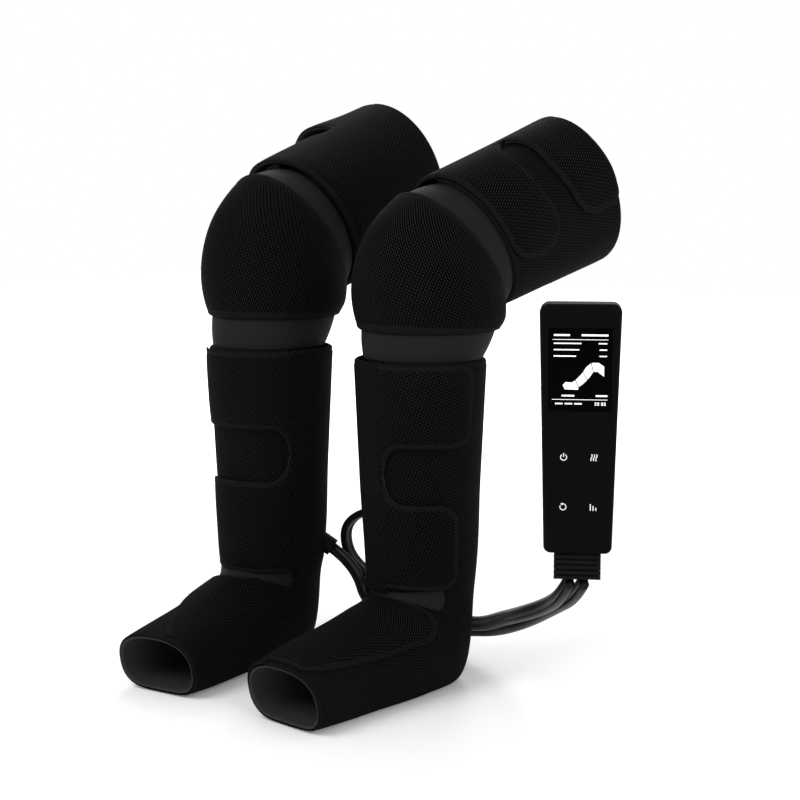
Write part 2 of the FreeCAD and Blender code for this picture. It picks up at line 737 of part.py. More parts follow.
def rounded_path(points):
    """Straight runs joined by arcs that touch both runs; also the tightest radius."""
    edges = []
    radii = []
    last = points[0]
    for before, corner, after in zip(points, points[1:], points[2:]):
        back = before - corner
        ahead = after - corner
        turn = math.pi - back.getAngle(ahead)
        back_share = HOSE_END_SHARE if before is points[0] else HOSE_BEND_SHARE
        ahead_share = HOSE_END_SHARE if after is points[-1] else HOSE_BEND_SHARE
        reach = min(back_share * back.Length, ahead_share * ahead.Length)
        radius = reach / math.tan(turn / 2)
        back.normalize()
        ahead.normalize()
        start = corner + back * reach
        end = corner + ahead * reach
        middle = corner + (back + ahead).normalize() * (radius / math.cos(turn / 2) - radius)
        edges.append(Part.LineSegment(last, start).toShape())
        edges.append(Part.Arc(start, middle, end).toShape())
        radii.append(radius)
        last = end
    edges.append(Part.LineSegment(last, points[-1]).toShape())
    return Part.Wire(edges), radii


def hose_solid(side):
    points = hose_route(side)
    path, radii = rounded_path(points)
    ring = Part.Wire(Part.makeCircle(HOSE_RADIUS, points[0], points[1] - points[0]))
    hose = path.makePipeShell([ring], True, False)
    plain = math.pi * HOSE_RADIUS ** 2 * path.Length
    print(side, "hose length", round(path.Length, 1), "least bend", round(min(radii), 1),
          "volume share", round(hose.Volume / plain, 4))
    return hose


def main():
    pieces = {**leg_parts("left"), **leg_parts("right"), **controller_parts()}
    for side in ("left", "right"):
        pieces[f"{side}_hose"] = hose_solid(side)
    for name, shape in pieces.items():
        shape.exportStep(f"parts/{name}.step")


main()
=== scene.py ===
import math
from collections import namedtuple

import bmesh
import bpy
import numpy as np
from bpy.props import FloatProperty, PointerProperty, StringProperty
from mathutils import Matrix, Vector


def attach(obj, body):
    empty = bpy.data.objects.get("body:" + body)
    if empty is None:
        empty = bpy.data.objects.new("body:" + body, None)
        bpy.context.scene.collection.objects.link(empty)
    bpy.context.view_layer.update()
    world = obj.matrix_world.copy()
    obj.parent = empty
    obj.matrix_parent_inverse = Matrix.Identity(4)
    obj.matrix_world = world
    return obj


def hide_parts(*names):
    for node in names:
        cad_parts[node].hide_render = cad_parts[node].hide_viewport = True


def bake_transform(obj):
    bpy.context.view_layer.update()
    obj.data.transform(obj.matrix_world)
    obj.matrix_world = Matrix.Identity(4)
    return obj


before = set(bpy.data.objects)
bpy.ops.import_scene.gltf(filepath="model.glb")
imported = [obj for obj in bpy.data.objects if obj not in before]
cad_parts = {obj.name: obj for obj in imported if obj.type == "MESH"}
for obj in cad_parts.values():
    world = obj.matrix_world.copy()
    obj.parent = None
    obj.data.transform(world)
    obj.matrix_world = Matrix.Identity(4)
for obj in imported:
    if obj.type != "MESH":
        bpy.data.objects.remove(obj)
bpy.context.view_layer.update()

bl_info = {
    "name": "Leg compression wraps",
    "version": (1, 0, 0),
    "blender": (4, 5, 0),
    "location": "3D View > Sidebar > Leg wraps",
    "description": "Dresses a pair of air compression leg wraps, their hoses and the hand controller",
    "category": "Object",
}

MM = 0.001
SIDES = ("left", "right")

# Mesh fineness
MERGE_DISTANCE = 0.02 * MM
SLIVER = 0.01 * MM
FLAP_CELL = 2 * MM
BOOT_HALF_GIRTH = 220 * MM
CUFF_HALF_GIRTH = 210 * MM
FEWEST_TUBE_ROWS = 12
FEWEST_FLAP_ROWS = 16
RIM_POINTS = 7
RING_POINTS = 150
BORDER_POINTS = 240
TIP_POINTS = 60
BAND_ROWS, BAND_COLUMNS = 18, 121
GUSSET_ROWS, GUSSET_COLUMNS = 14, 90

# Air in the padding: a short cloth simulation
PUFF_FRAMES = 8
CLOTH_QUALITY = 4
CLOTH_MASS = 0.02
CLOTH_STIFFNESS = 1.5
AIR_PRESSURE = 200

# Padding round the flaps' roots: columns close to a root, and where the raised padding fades out
ROOT_STEPS_DEG = (-0.7, 0, 0.5, 1.0)
ROOT_FADE_DEG = 1.4
BACK_FADE_DEG = -140
# What the thigh's flaps cover, and where the root turns from the foot's angle to the calf's at the ankle
UNDER_FLAPS_DEG = (-5, 115)
ROOT_TURN_MM = (-22, 4)
# Second row of a flap's root as a share of its lap, and how near a seam may come to an edge
ROOT_LAP_SHARE = 0.9
SEAM_CLEAR_SHARE = 0.97
# How much of the tape's colour the boots' rims show, and how high the foot flap stands at the toe
RIM_TAPE_SHARE = 0.4
TOE_RISE_SHARE = 0.35

# Leg sections in millimetres, in a leg's own frame (X outwards, Y back, Z up):
# front or top point (y, z), back or bottom point (y, z), half width.
BOOT_SECTIONS = (
    ((-226, 70), (-212, -4), 55),
    ((-150, 88), (-116, -12), 54),
    ((-98, 103), (-22, -16), 55),
    ((-70, 110), (42, -2), 57),
    ((-58, 118), (62, 118), 60),
    ((-64, 240), (68, 240), 66),
    ((-70.5, 380), (74.5, 380), 72.5),
)
ANKLE_SECTION = 4
# The toe's section is squarer than an oval, whose power is 2, and rounds off over some tapers
TOE_SQUARE = 2.5
TOE_SQUARE_TAPERS = 3
KNEE_SECTIONS = {
    "left": (
        ((-70, 412), (92, 412), 81),
        ((-80, 466), (102, 414), 84),
        ((-64, 526), (108, 417), 77),
        ((-21, 568), (113, 420), 64),
    ),
    "right": (
        ((-68, 416), (94, 416), 79),
        ((-80, 472), (105, 419), 84),
        ((-66, 540), (114, 422), 79),
        ((-21, 588), (121, 426), 68),
    ),
}
THIGH_SECTIONS = {
    "left": (((24, 579), (124, 430), 65), ((240, 650), (316, 476), 71)),
    "right": (((26, 596), (130, 438), 69), ((246, 672), (320, 482), 77)),
}

# Calf flaps on each leg: low and high edge in millimetres above the floor,
# and free end in degrees from the front.
# Then the radii of the free end's corners and of the notch between the flaps.
CALF_ROOT_DEG = {"left": 2, "right": -57}
CALF_FLAPS = {
    "calf_upper": {
        "left": (286, 378, 90), "right": (286, 378, 64), "corners": (22, 16), "fillets": (36, 0),
    },
    "calf_lower": {
        "left": (125, 222, 79), "right": (110, 222, 60), "corners": (16, 24), "fillets": (0, 36),
    },
}
# Foot flap: edges on the toe side and on the ankle side,
# as degrees from the top and millimetres from the toe
FOOT_ROOT_DEG = -24
FOOT_FLAP_EDGES = {
    "left": (
        ((-24, 9), (10, 9), (32, 11), (44, 30), (56, 75), (64.5, 123), (68.5, 165), (70, 190)),
        ((-24, 262), (7, 264), (30, 255), (45, 246), (58, 236), (66, 218), (70, 198)),
    ),
    "right": (
        ((-24, 8), (-14, 10), (-3.5, 27), (9, 61), (24, 107), (36, 151), (46, 190), (49, 205)),
        ((-24, 198), (0, 188), (20, 188), (36, 194), (46, 202), (49, 207)),
    ),
}
# Thigh flaps: edges on the knee side and on the hip side,
# as degrees from the top and shares of the cuff's length
THIGH_FLAP_EDGES = {
    "left": {
        "thigh_lower": (
            ((0, 0.012), (40, 0.012), (80, 0.012), (94, 0.02), (102, 0.06), (107, 0.14), (108.5, 0.21)),
            (
                (0, 0.535), (8, 0.47), (18, 0.43), (39, 0.411), (64, 0.415), (82, 0.43),
                (95, 0.405), (104, 0.33), (108.5, 0.25),
            ),
        ),
        "thigh_upper": (
            (
                (0, 0.555), (8, 0.585), (24, 0.597), (49, 0.585), (74, 0.611), (86, 0.632),
                (93, 0.68), (96, 0.74),
            ),
            ((0, 0.985), (40, 0.985), (80, 0.985), (90, 0.97), (96, 0.93)),
        ),
    },
    "right": {
        "thigh_lower": (
            ((0, 0.012), (40, 0.012), (80, 0.012), (95, 0.02), (101, 0.05)),
            ((0, 0.50), (8, 0.45), (18, 0.43), (39, 0.411), (64, 0.415), (82, 0.42), (95, 0.38), (101, 0.33)),
        ),
        "thigh_upper": (
            ((0, 0.53), (8, 0.555), (24, 0.56), (49, 0.555), (74, 0.56), (90, 0.575), (97, 0.60)),
            ((0, 0.985), (40, 0.985), (80, 0.985), (92, 0.965), (97, 0.93)),
        ),
    },
}

# How far the right thigh's flaps stand off at their knee ends, in millimetres,
# and over how many radians from the root
LOOSE_LIFT = {"thigh_lower": 7, "thigh_upper": 16}
LOOSE_TURN = 0.7

# Ankle gusset: first and last angle, then lower and upper edge at both, in millimetres from the toe
GUSSETS = {
    "left": ((-46, 68), (262, 252), (272, 284)),
    "right": ((-66, 78), (230, 180), (270, 270)),
}
# Over which angles its width changes, its ends draw together and the padding gives way,
# then the shape of its ends and its height in shares of half its wall
GUSSET_CHANGE_DEG = 95
GUSSET_END_DEG = 10
GUSSET_FADE_DEG = (2, 1)
GUSSET_END_POWER = 8
GUSSET_LIFT = 0.3
GUSSET_UNDERSIDE = 0.5

# Hose routes in metres, along the solid tubes from the controller to the calf
HOSE_ROUTES = {
    "left": (
        (0.2887, -0.1932, 0.1958), (0.272, -0.181, 0.174), (0.208, -0.107, 0.138), (0.134, -0.042, 0.103),
        (0.079, 0.005, 0.079), (0.023, 0.037, 0.054), (-0.039, 0.049, 0.050), (-0.090, 0.040, 0.070),
        (-0.137, 0.034, 0.090), (-0.172, 0.030, 0.116), (-0.172, 0.026, 0.156), (-0.134, 0.034, 0.178),
        (-0.0938, 0.0231, 0.170), (-0.0645, 0.0021, 0.170),
    ),
    "right": (
        (0.3007, -0.1860, 0.1954), (0.282, -0.169, 0.174), (0.212, -0.094, 0.136), (0.143, -0.029, 0.098),
        (0.084, 0.014, 0.069), (0.032, 0.047, 0.048), (-0.027, 0.062, 0.031), (-0.078, 0.064, 0.033),
        (-0.136, 0.026, 0.052), (-0.1453, 0.0141, 0.1073), (-0.1696, -0.0019, 0.1285),
    ),
}

# Hose section: where its wide side points below the boot, on the way and behind the legs,
# where it turns from each to the next, and how its two lobes meet
HOSE_LEAN = np.array([-0.64, 0.77, 1.0])
HOSE_UPRIGHT = np.array([0, 0, 1.0])
HOSE_BACK = np.array([0, 1.0, 0])
HOSE_LEAN_MM = (30, 120)
HOSE_BACK_SHARES = (0.5, 0.68)
HOSE_LOBES_APART = 0.9
HOSE_LOBE_DEG = 120
HOSE_LOBE_POINTS = 15
HOSE_SPLINE_STEPS = 12

# Symbols in millimetres on the controller's face, from its bottom middle: centres of the four keys
KEY_PLACES = {"power": (-14.3, 94), "heat": (14.3, 94), "mode": (-14.3, 46), "intensity": (14.3, 46)}
# Shapes of the keys' symbols, in radii of a round symbol
POWER_ARC_DEG = (35, 325)
POWER_BAR_PLACE, POWER_BAR_LENGTH = 0.75, 1.3
HEAT_COLUMNS = (-0.8, 0, 0.8)
HEAT_SWAY = 0.22
HEAT_HALF = 1.1
CYCLE_ARC_DEG = (0, 300)
CYCLE_HEAD = ((-0.1, 1.4), (-0.1, 0.55), (-0.95, 0.95))
LEVEL_HEIGHTS = (2.2, 1.6, 1.0)
LEVEL_STEP = 0.9
LEVEL_START = 1.1
LEVEL_BAR_LINES = 1.2
ARC_POINTS = 25
WAVE_POINTS = 17

# Screen in millimetres: heights and half width of its two rules, marks as (left, height, width, thickness)
SCREEN_RULES = (206.2, 149.3)
SCREEN_RULE_HALF = 26
SCREEN_MARKS = (
    (-25, 210.4, 15, 1.7), (1, 210.4, 25, 1.7),
    (-25, 202.6, 26, 1.1), (17, 202.6, 8, 1.1), (-25, 196.6, 24, 1.1), (18, 196.6, 7, 1.1),
    (-25, 190.6, 21, 1.1), (18, 190.6, 7, 1.1), (-17, 153.0, 12, 1.5), (15, 153.0, 11, 1.5),
    (-23, 145.4, 7, 1.3), (-14, 145.4, 7, 1.3), (-5, 145.4, 7, 1.3),
)
SCREEN_LEG = {
    "foot": (
        (-16, 163), (-13.5, 166), (-7.5, 165.5), (-4.6, 167.5), (-1.4, 161.3), (-1.5, 158.8), (-14, 159),
    ),
    "calf": ((-4, 168), (1, 173), (2.7, 175.5), (6.6, 168), (3, 164.5), (-0.7, 161.7)),
    "knee": ((3.1, 176.1), (6, 180.5), (10, 183.8), (12.2, 175.5), (8, 169.5), (7.1, 168.6)),
    "thigh": ((10.7, 184.3), (17, 184.5), (22.5, 181), (22.5, 171.5), (16.5, 176), (12.8, 176)),
}
CLOCK_PLACE = (14.2, 143.9)
CLOCK_DIGITS = "2000"
SEGMENTS = {"0": "abcdef", "2": "abged"}
DIGIT_WIDTH = 0.55
DIGIT_STEP = 0.85
COLON_WIDTH = 0.4

# Patterns to the metre, the wave texture's period at a scale of 1, and the height of moulded grain
KNIT_PATCHES = 9.0
CLOTH_MOTTLES = 14.0
GLOSS_PATCHES = 25.0
PAPER_FIBRES = 40.0
WAVE_PERIOD = 0.314
GRAIN_RELIEF = 0.1 * MM

Weave = namedtuple("Weave", "colour thread roughness relief")
Moulding = namedtuple("Moulding", "colour roughness grain metallic specular glow", defaults=(0.0, 0.5, 0.0))
Lamp = namedtuple("Lamp", "name place size power")
Patch = namedtuple("Patch", "points uv material hem sewn", defaults=(1,))
Flap = namedtuple("Flap", "name parent reach low high place rise start towards uv_start")

# Woven finishes: colour, thread spacing in millimetres (drawn coarser than real so that it shows),
# roughness and relief in millimetres
WEAVES = {
    # Smooth dark grey with fine upright threads and hardly any shine
    "nylon_stretch_knit": Weave("stretch", 1.2, 0.75, 0.15),
    # Soft lighter grey without shine
    "polyester_brushed_lining": Weave("lining", 1.6, 0.9, 0.2),
}

# Moulded, printed and cast finishes: colour, roughness, grain in millimetres,
# and what differs from plain plastic
MOULDINGS = {
    # Deep black with a faint, even sheen
    "abs_satin_moulded": Moulding("case", 0.45, 0.5, specular=0.025),
    # Black glass that hides where the display ends
    "acrylic_polished_window": Moulding("glass", 0.12, 2, specular=0.01),
    # Crisp matt white
    "ink_white_printed": Moulding("print", 0.6, 0.3),
    # White marks that glow a little
    "crystal_display_lit": Moulding("print", 0.5, 0.3, glow=0.5),
    # Black tube with soft highlights along it
    "pvc_flexible_hose": Moulding("hose", 0.4, 1, specular=0.12),
    # Dull black ribs
    "rubber_ribbed_boot": Moulding("rubber", 0.55, 0.4, specular=0.06),
    # Plain black, slightly dull
    "nylon_moulded_socket": Moulding("socket", 0.5, 0.4, specular=0.1),
    # Dark thread with a dull shine on each stitch
    "polyester_sewing_thread": Moulding("thread", 0.7, 0.2, specular=0.15),
    # Green lacquer over glass cloth
    "laminate_green_board": Moulding("board", 0.4, 1),
    # Grey metal with a soft shine
    "aluminium_cast": Moulding("cast", 0.45, 0.6, metallic=1.0),
    # Brighter and smoother grey metal
    "steel_plated": Moulding("plate", 0.3, 0.6, metallic=1.0),
    # Dull dark grey
    "foam_rubber_cushion": Moulding("cushion", 0.9, 0.8),
}


def length(name, millimetres, description):
    default = millimetres * MM
    return FloatProperty(name=name, description=description, default=default, unit="LENGTH", precision=4)


def angle(name, degrees, description):
    return FloatProperty(name=name, description=description, default=math.radians(degrees), unit="ROTATION")


def colour(name, code, description):
    return StringProperty(name=name, description=description + ", as an sRGB hex value", default=code)


class WrapSizes(bpy.types.PropertyGroup):
    """Sizes of the two leg wraps."""
    left_x: length("Left leg", 0, "Where the left leg stands across the floor")
    right_x: length("Right leg", -233, "Where the right leg stands across the floor")
    legs_y: length("Legs back", -46, "Where both legs stand along the floor")
    toe_in: angle("Toe in", 5.5, "How far each leg is turned inwards")
    calf_middle: length("Calf middle", 2, "How far the calf's axis lies behind the leg's")
    wall: length("Wall", 10.8, "Cover, air bladder and lining together")
    toe_wall: length("Toe wall", 5.5, "Thickness of the padding at the toe's rim")
    toe_taper: length("Toe taper", 50, "Distance from the toe over which the padding thins")
    knee_wall: length("Knee wall", 8, "Thickness of the knee cup")
    rise: length("Flap rise", 4.5, "Mean height of a flap above the cover")
    rise_change: length("Rise change", 2.5, "How much higher a flap stands at its root")
    foot_rise: length("Foot rise", 3.5, "Mean height of the foot flap above the cover")
    foot_rise_change: length("Foot rise change", 2, "How much higher the foot flap stands on top")
    root_lap: length("Root lap", 1.2, "How far a flap's root laps over the padding it grows from")
    flap_gap: length("Flap gap", 0.5, "Room between a flap and the cover under it")
    fillet_depth: length("Fillet depth", 26, "How deep the closed end of a calf's notch is rounded")
    edge: length("Edge", 4.5, "Distance over which a flap's padding rounds off to its edge")
    binding: length("Binding", 3.8, "Width of the tape sewn round each free edge")
    rim_tape: length("Rim tape", 5, "Width of the tape round each opening")
    seam_depth: length("Seam depth", 0.9, "How far the stitching draws the padding in")
    seam_width: length("Seam width", 1.3, "How wide that groove is")
    puff: length("Puff", 2.5, "Most that the air lifts the padding's cloth")
    sole: length("Sole", 5, "How softly the sole meets the floor")
    cell: length("Cell", 3, "Width of a mesh cell on the padded pieces")
    stitch: length("Stitch", 3, "Length of one stitch")
    stitch_pitch: length("Stitch pitch", 4.2, "Distance from one stitch to the next")
    thread: length("Thread", 0.35, "Radius of the sewing thread")
    band_inset: length("Band inset", 5, "How far the stretch bands lie inside the padding's edge")
    band_wall: length("Band wall", 2, "Thickness of the stretch bands")
    gusset_soft: length("Gusset softness", 3, "How softly the padding gives way to the ankle gusset")
    gusset_lap: length("Gusset lap", 3, "How far the ankle gusset laps over the padding")
    hinge: length("Hinge", 18, "How much of a flap bends when it opens")
    hose_lobe: length("Hose lobe", 4.6, "Radius of each of the two tubes in a hose")


class CaseSizes(bpy.types.PropertyGroup):
    """Place and printed symbols of the controller."""
    x: length("X", 304, "Controller's bottom middle across")
    y: length("Y", -205, "Controller's front face along")
    z: length("Z", 225, "Controller's bottom height")
    turn: angle("Turn", 31, "Controller's turn about the upright axis")
    print_lift: length("Print lift", 0.15, "How far the printed symbols stand off the face")
    line: length("Line", 0.85, "Width of a symbol's line")
    symbol: length("Symbol", 2.9, "Radius of a round symbol")
    rule: length("Rule", 0.5, "Width of the lines on the screen")
    digit: length("Digit", 2.9, "Height of a digit on the screen")


class Finishes(bpy.types.PropertyGroup):
    """Colours of the finishes and sizes of the knit."""
    # Painted shade: the black gaps between the knit's ribs; painted sheen: the ribs' lighter colour
    knit_gap_shade: colour("Knit dark", "#000000", "Gaps of the ribbed knit")
    knit_rib_and_sheen: colour("Knit light", "#242725", "Ribs of the ribbed knit")
    tape: colour("Tape", "#141515", "Binding tape on free edges")
    stretch: colour("Stretch", "#1d1d1e", "Smooth stretch bands")
    lining: colour("Lining", "#343435", "Brushed lining")
    case: colour("Case", "#070708", "Controller case")
    glass: colour("Glass", "#020203", "Screen window")
    print: colour("Print", "#f4f4f4", "Printed symbols")
    hose: colour("Hose", "#0d0d0e", "Flexible hose")
    rubber: colour("Rubber", "#0e0e0f", "Hose boot")
    socket: colour("Socket", "#0d0d0e", "Hose sockets and inner mouldings")
    thread: colour("Thread", "#121313", "Sewing thread")
    board: colour("Board", "#1c5a34", "Circuit board")
    cast: colour("Cast metal", "#b4b6ba", "Air pump")
    plate: colour("Plated metal", "#a9abad", "Screws and valves")
    cushion: colour("Cushion", "#1a1a1a", "Pump cushions")
    rib_length: length("Rib length", 4.9, "Length of one rib of the knit")
    rib_pitch: length("Rib pitch", 2.2, "Distance from one row of ribs to the next")
    # The gap's width sets how much painted shade shows round each rib
    rib_gap: length("Rib gap", 0.85, "Width of the dark gap round a rib")
    rib_relief: length("Rib relief", 0.5, "Height of the ribs")
    rib_lean: angle("Rib lean", 66, "Turn of the ribs on the cloth")


class Stage(bpy.types.PropertyGroup):
    """Camera and floor."""
    camera_x: length("Camera X", 1106.6, "Camera position across")
    camera_y: length("Camera Y", -1533.9, "Camera position along")
    camera_z: length("Camera Z", 585.4, "Camera height")
    camera_turn: angle("Camera turn", 37.4, "Camera's turn about the upright axis")
    camera_tilt: angle("Camera tilt", 82.2, "Camera's tilt from straight down")
    floor: length("Floor", 12000, "Width of the floor")
    fade_start: length("Fade start", 700, "Distance from the middle where the floor starts to turn white")
    fade_end: length("Fade end", 2000, "Distance from the middle where the floor is plain white")


# Mesh helpers

def spline(values, knots, t):
    """Smooth curve through rows of values at uneven knots."""
    values = np.asarray(values, float)
    slopes = np.gradient(values, knots, axis=0)
    index = np.clip(np.searchsorted(knots, t) - 1, 0, len(knots) - 2)
    span = (knots[index + 1] - knots[index])[:, None]
    s = ((t - knots[index])[:, None]) / span
    first, last = values[index], values[index + 1]
    leaving, arriving = slopes[index] * span, slopes[index + 1] * span
    ends = (2 * s**3 - 3 * s**2 + 1) * first + (3 * s**2 - 2 * s**3) * last
    return ends + (s**3 - 2 * s**2 + s) * leaving + (s**3 - s**2) * arriving


class Form:
    """A tube through oval sections, measured in metres along its middle."""

    def __init__(self, sections, square_length=None):
        self.square_length = square_length
        self.rows = np.array([[*front, *back, half] for front, back, half in sections], float) * MM
        steps = np.diff(self.rows, axis=0)
        lengths = (np.hypot(steps[:, 0], steps[:, 1]) + np.hypot(steps[:, 2], steps[:, 3])) / 2
        self.knots = np.concatenate([[0], np.cumsum(lengths)])
        self.length = self.knots[-1]

    def skin(self, t, theta, offset):
        """Points at distances t, angles theta and offsets from the surface, all of one shape."""
        t, theta, offset = np.broadcast_arrays(t, theta, offset)
        row = spline(self.rows, self.knots, t.ravel()).reshape(t.shape + (5,))
        front, back, half = row[..., 0:2], row[..., 2:4], row[..., 4]
        centre = (front + back) / 2
        tall = np.linalg.norm(front - back, axis=-1) / 2
        along = (front - back) / (2 * tall[..., None])
        sine, cosine = np.sin(theta), np.cos(theta)
        if self.square_length:
            power = mix(TOE_SQUARE, 2, smooth(0, self.square_length, t))
            swell = (np.abs(sine) ** power + np.abs(cosine) ** power) ** (-1 / power)
            sine, cosine = sine * swell, cosine * swell
        side = centre + along * ((tall + offset) * cosine)[..., None]
        return np.stack([(half + offset) * sine, side[..., 0], side[..., 1]], -1)


def mix(first, last, share):
    return first + (last - first) * share


def smooth(low, high, value):
    """Rises softly from 0 at low to 1 at high."""
    s = np.clip((value - low) / (high - low), 0, 1)
    return s * s * (3 - 2 * s)


def rounded(distance, radius):
    """Height that a half round edge has lost at a distance from its end."""
    inside = np.clip(radius - distance, 0, radius)
    return radius - np.sqrt(radius**2 - inside**2)


def above(z, low, softness):
    """Heights pressed softly onto a floor."""
    return low + (z - low + np.sqrt((z - low) ** 2 + softness**2)) / 2


def groove(sizes, distance):
    """Depth of the stitched groove at a distance from its line."""
    return sizes.seam_depth * np.exp(-((distance / sizes.seam_width) ** 2))


def leg_matrix(sizes, side):
    sign = 1 if side == "left" else -1
    x = sizes.left_x if side == "left" else sizes.right_x
    turn = Matrix.Rotation(-sign * sizes.toe_in, 4, "Z")
    return Matrix.Translation((x, sizes.legs_y, 0)) @ turn @ Matrix.Diagonal((sign, 1, 1, 1))


def moved(points, matrix):
    m = np.array(matrix)
    return points @ m[:3, :3].T + m[:3, 3]


def linked(name, mesh):
    piece = bpy.data.objects.new(name, mesh)
    bpy.context.collection.objects.link(piece)
    return piece


def build(name, patches, materials):
    """One closed mesh piece from grid patches that share edges."""
    verts, uvs, hems, sewn, faces, slots = [], [], [], [], [], []
    for patch in patches:
        rows, cols = patch.points.shape[:2]
        index = sum(len(v) for v in verts) + np.arange(rows * cols).reshape(rows, cols)
        corners = [index[:-1, :-1], index[:-1, 1:], index[1:, 1:], index[1:, :-1]]
        quads = np.stack(corners, -1).reshape(-1, 4)
        verts.append(patch.points.reshape(-1, 3))
        uvs.append(patch.uv.reshape(-1, 2))
        hems.append(np.broadcast_to(patch.hem, (rows, cols)).ravel())
        sewn.append(np.broadcast_to(patch.sewn, (rows, cols)).ravel())
        faces.append(quads)
        slots.append(np.full(len(quads), patch.material))
    faces = np.concatenate(faces)
    mesh = bpy.data.meshes.new(name)
    mesh.from_pydata(np.concatenate(verts).tolist(), [], faces.tolist())
    layer = mesh.uv_layers.new(name="cloth")
    layer.data.foreach_set("uv", np.concatenate(uvs)[faces.ravel()].astype(np.float32).ravel())
    for label, values in (("hem", hems), ("sewn", sewn)):
        layer = mesh.attributes.new(label, "FLOAT", "POINT")
        layer.data.foreach_set("value", np.concatenate(values).astype(np.float32))
    mesh.polygons.foreach_set("material_index", np.concatenate(slots))
    work = bmesh.new()
    work.from_mesh(mesh)
    bmesh.ops.remove_doubles(work, verts=work.verts, dist=MERGE_DISTANCE)
    bmesh.ops.dissolve_degenerate(work, edges=work.edges, dist=SLIVER)
    bmesh.ops.recalc_face_normals(work, faces=work.faces)
    for face in work.faces:
        face.smooth = True
    work.to_mesh(mesh)
    work.free()
    for material in materials:
        mesh.materials.append(material)
    return linked(name, mesh)


def puff(sizes, piece):
    """Lets air into a padded piece with a short cloth simulation, held at its lining and its sewn lines."""
    mesh = piece.data
    count = len(mesh.vertices)
    rest, blown, sewn = np.empty(3 * count), np.empty(3 * count), np.empty(count)
    mesh.vertices.foreach_get("co", rest)
    mesh.attributes["sewn"].data.foreach_get("value", sewn)
    held = piece.vertex_groups.new(name="sewn")
    held.add(np.flatnonzero(sewn > 0.5).tolist(), 1.0, "REPLACE")
    air = piece.modifiers.new("air", "CLOTH")
    air.settings.vertex_group_mass = held.name
    air.settings.quality = CLOTH_QUALITY
    air.settings.mass = CLOTH_MASS
    air.settings.tension_stiffness = CLOTH_STIFFNESS
    air.settings.compression_stiffness = CLOTH_STIFFNESS
    air.settings.use_pressure = True
    air.settings.uniform_pressure_force = AIR_PRESSURE
    air.settings.effector_weights.gravity = 0
    air.point_cache.frame_end = PUFF_FRAMES
    for number in range(1, PUFF_FRAMES + 1):
        bpy.context.scene.frame_set(number)
    ready = piece.evaluated_get(bpy.context.evaluated_depsgraph_get())
    ready.data.vertices.foreach_get("co", blown)
    move = (blown - rest).reshape(-1, 3)
    far = np.linalg.norm(move, axis=1)
    move *= (sizes.puff * np.tanh(far / sizes.puff) / np.maximum(far, 1e-9))[:, None]
    piece.modifiers.clear()
    piece.vertex_groups.clear()
    mesh.vertices.foreach_set("co", rest + move.ravel())
    mesh.update()
    bpy.context.scene.frame_set(1)


def padding():
    return [finish_of("polyester_ribbed_knit"), finish_of("polyester_brushed_lining")]


# Materials

def rgb(code):
    """Linear colour of an sRGB hex value."""
    parts = [int(code[i:i + 2], 16) / 255 for i in (1, 3, 5)]
    return tuple(c / 12.92 if c <= 0.04045 else ((c + 0.055) / 1.055) ** 2.4 for c in parts) + (1,)


def add(tree, kind, inputs=(), **settings):
    """Adds a node; an input is a value or a socket to link."""
    node = tree.nodes.new(kind)
    for key, value in settings.items():
        setattr(node, key, value)
    for key, value in dict(inputs).items():
        if isinstance(value, bpy.types.NodeSocket):
            tree.links.new(value, node.inputs[key])
        else:
            node.inputs[key].default_value = value
    return node


def material(name):
    made = bpy.data.materials.new(name)
    made.use_nodes = True
    return made, made.node_tree, made.node_tree.nodes["Principled BSDF"]


def ribbed_knit(finishes):
    """Black polyester rib knit: short slanted ribs with a painted sheen and painted shade in the gaps between
    them, smooth tape on the edges.
    """
    made, tree, shader = material("polyester_ribbed_knit")
    uv = add(tree, "ShaderNodeUVMap", uv_map="cloth").outputs["UV"]
    turned = add(tree, "ShaderNodeMapping", {"Vector": uv, "Rotation": (0, 0, finishes.rib_lean)})
    # Painted shade in the black gaps and painted sheen on the lighter ribs, drawn as the knit's colour
    ribs = add(tree, "ShaderNodeTexBrick", {
        "Vector": turned.outputs["Vector"], "Scale": 1.0, "Mortar": rgb(finishes.knit_gap_shade),
        "Color1": rgb(finishes.knit_rib_and_sheen), "Color2": rgb(finishes.knit_rib_and_sheen),
        "Brick Width": finishes.rib_length, "Row Height": finishes.rib_pitch,
        "Mortar Size": finishes.rib_gap, "Mortar Smooth": 0.3}, offset=0.5)
    tape = add(tree, "ShaderNodeAttribute", attribute_name="hem").outputs["Fac"]
    place = add(tree, "ShaderNodeTexCoord").outputs["Object"]
    patches = add(tree, "ShaderNodeTexNoise", {"Vector": place, "Scale": KNIT_PATCHES, "Detail": 3.0})
    worn = add(tree, "ShaderNodeMapRange", {"Value": patches.outputs["Fac"], "To Min": 0.7, "To Max": 1.3})
    shaded = add(tree, "ShaderNodeVectorMath", {
        0: ribs.outputs["Color"], "Scale": worn.outputs["Result"]}, operation="SCALE")
    taped = add(tree, "ShaderNodeMix", {
        0: tape, 6: shaded.outputs[0], 7: rgb(finishes.tape)}, data_type="RGBA")
    tree.links.new(taped.outputs[2], shader.inputs["Base Color"])
    height = add(tree, "ShaderNodeMath", {0: ribs.outputs["Fac"], 1: tape}, operation="MAXIMUM")
    bump = add(tree, "ShaderNodeBump", {
        "Height": height.outputs[0], "Strength": 0.5, "Distance": finishes.rib_relief}, invert=True)
    tree.links.new(bump.outputs["Normal"], shader.inputs["Normal"])
    shader.inputs["Roughness"].default_value = 0.8
    shader.inputs["Specular IOR Level"].default_value = 0.02
    return made


def uneven_colour(tree, place, code, size, detail, spread):
    """A colour that varies softly by a share of itself, with the noise that it follows."""
    noise = add(tree, "ShaderNodeTexNoise", {"Vector": place, "Scale": size, "Detail": detail}).outputs["Fac"]
    ramp = add(tree, "ShaderNodeValToRGB", {"Fac": noise})
    base = rgb(code)
    for stop, share in zip(ramp.color_ramp.elements, (1 - spread, 1 + spread)):
        stop.color = tuple(min(c * share, 1) for c in base[:3]) + (1,)
    return ramp.outputs["Color"], noise


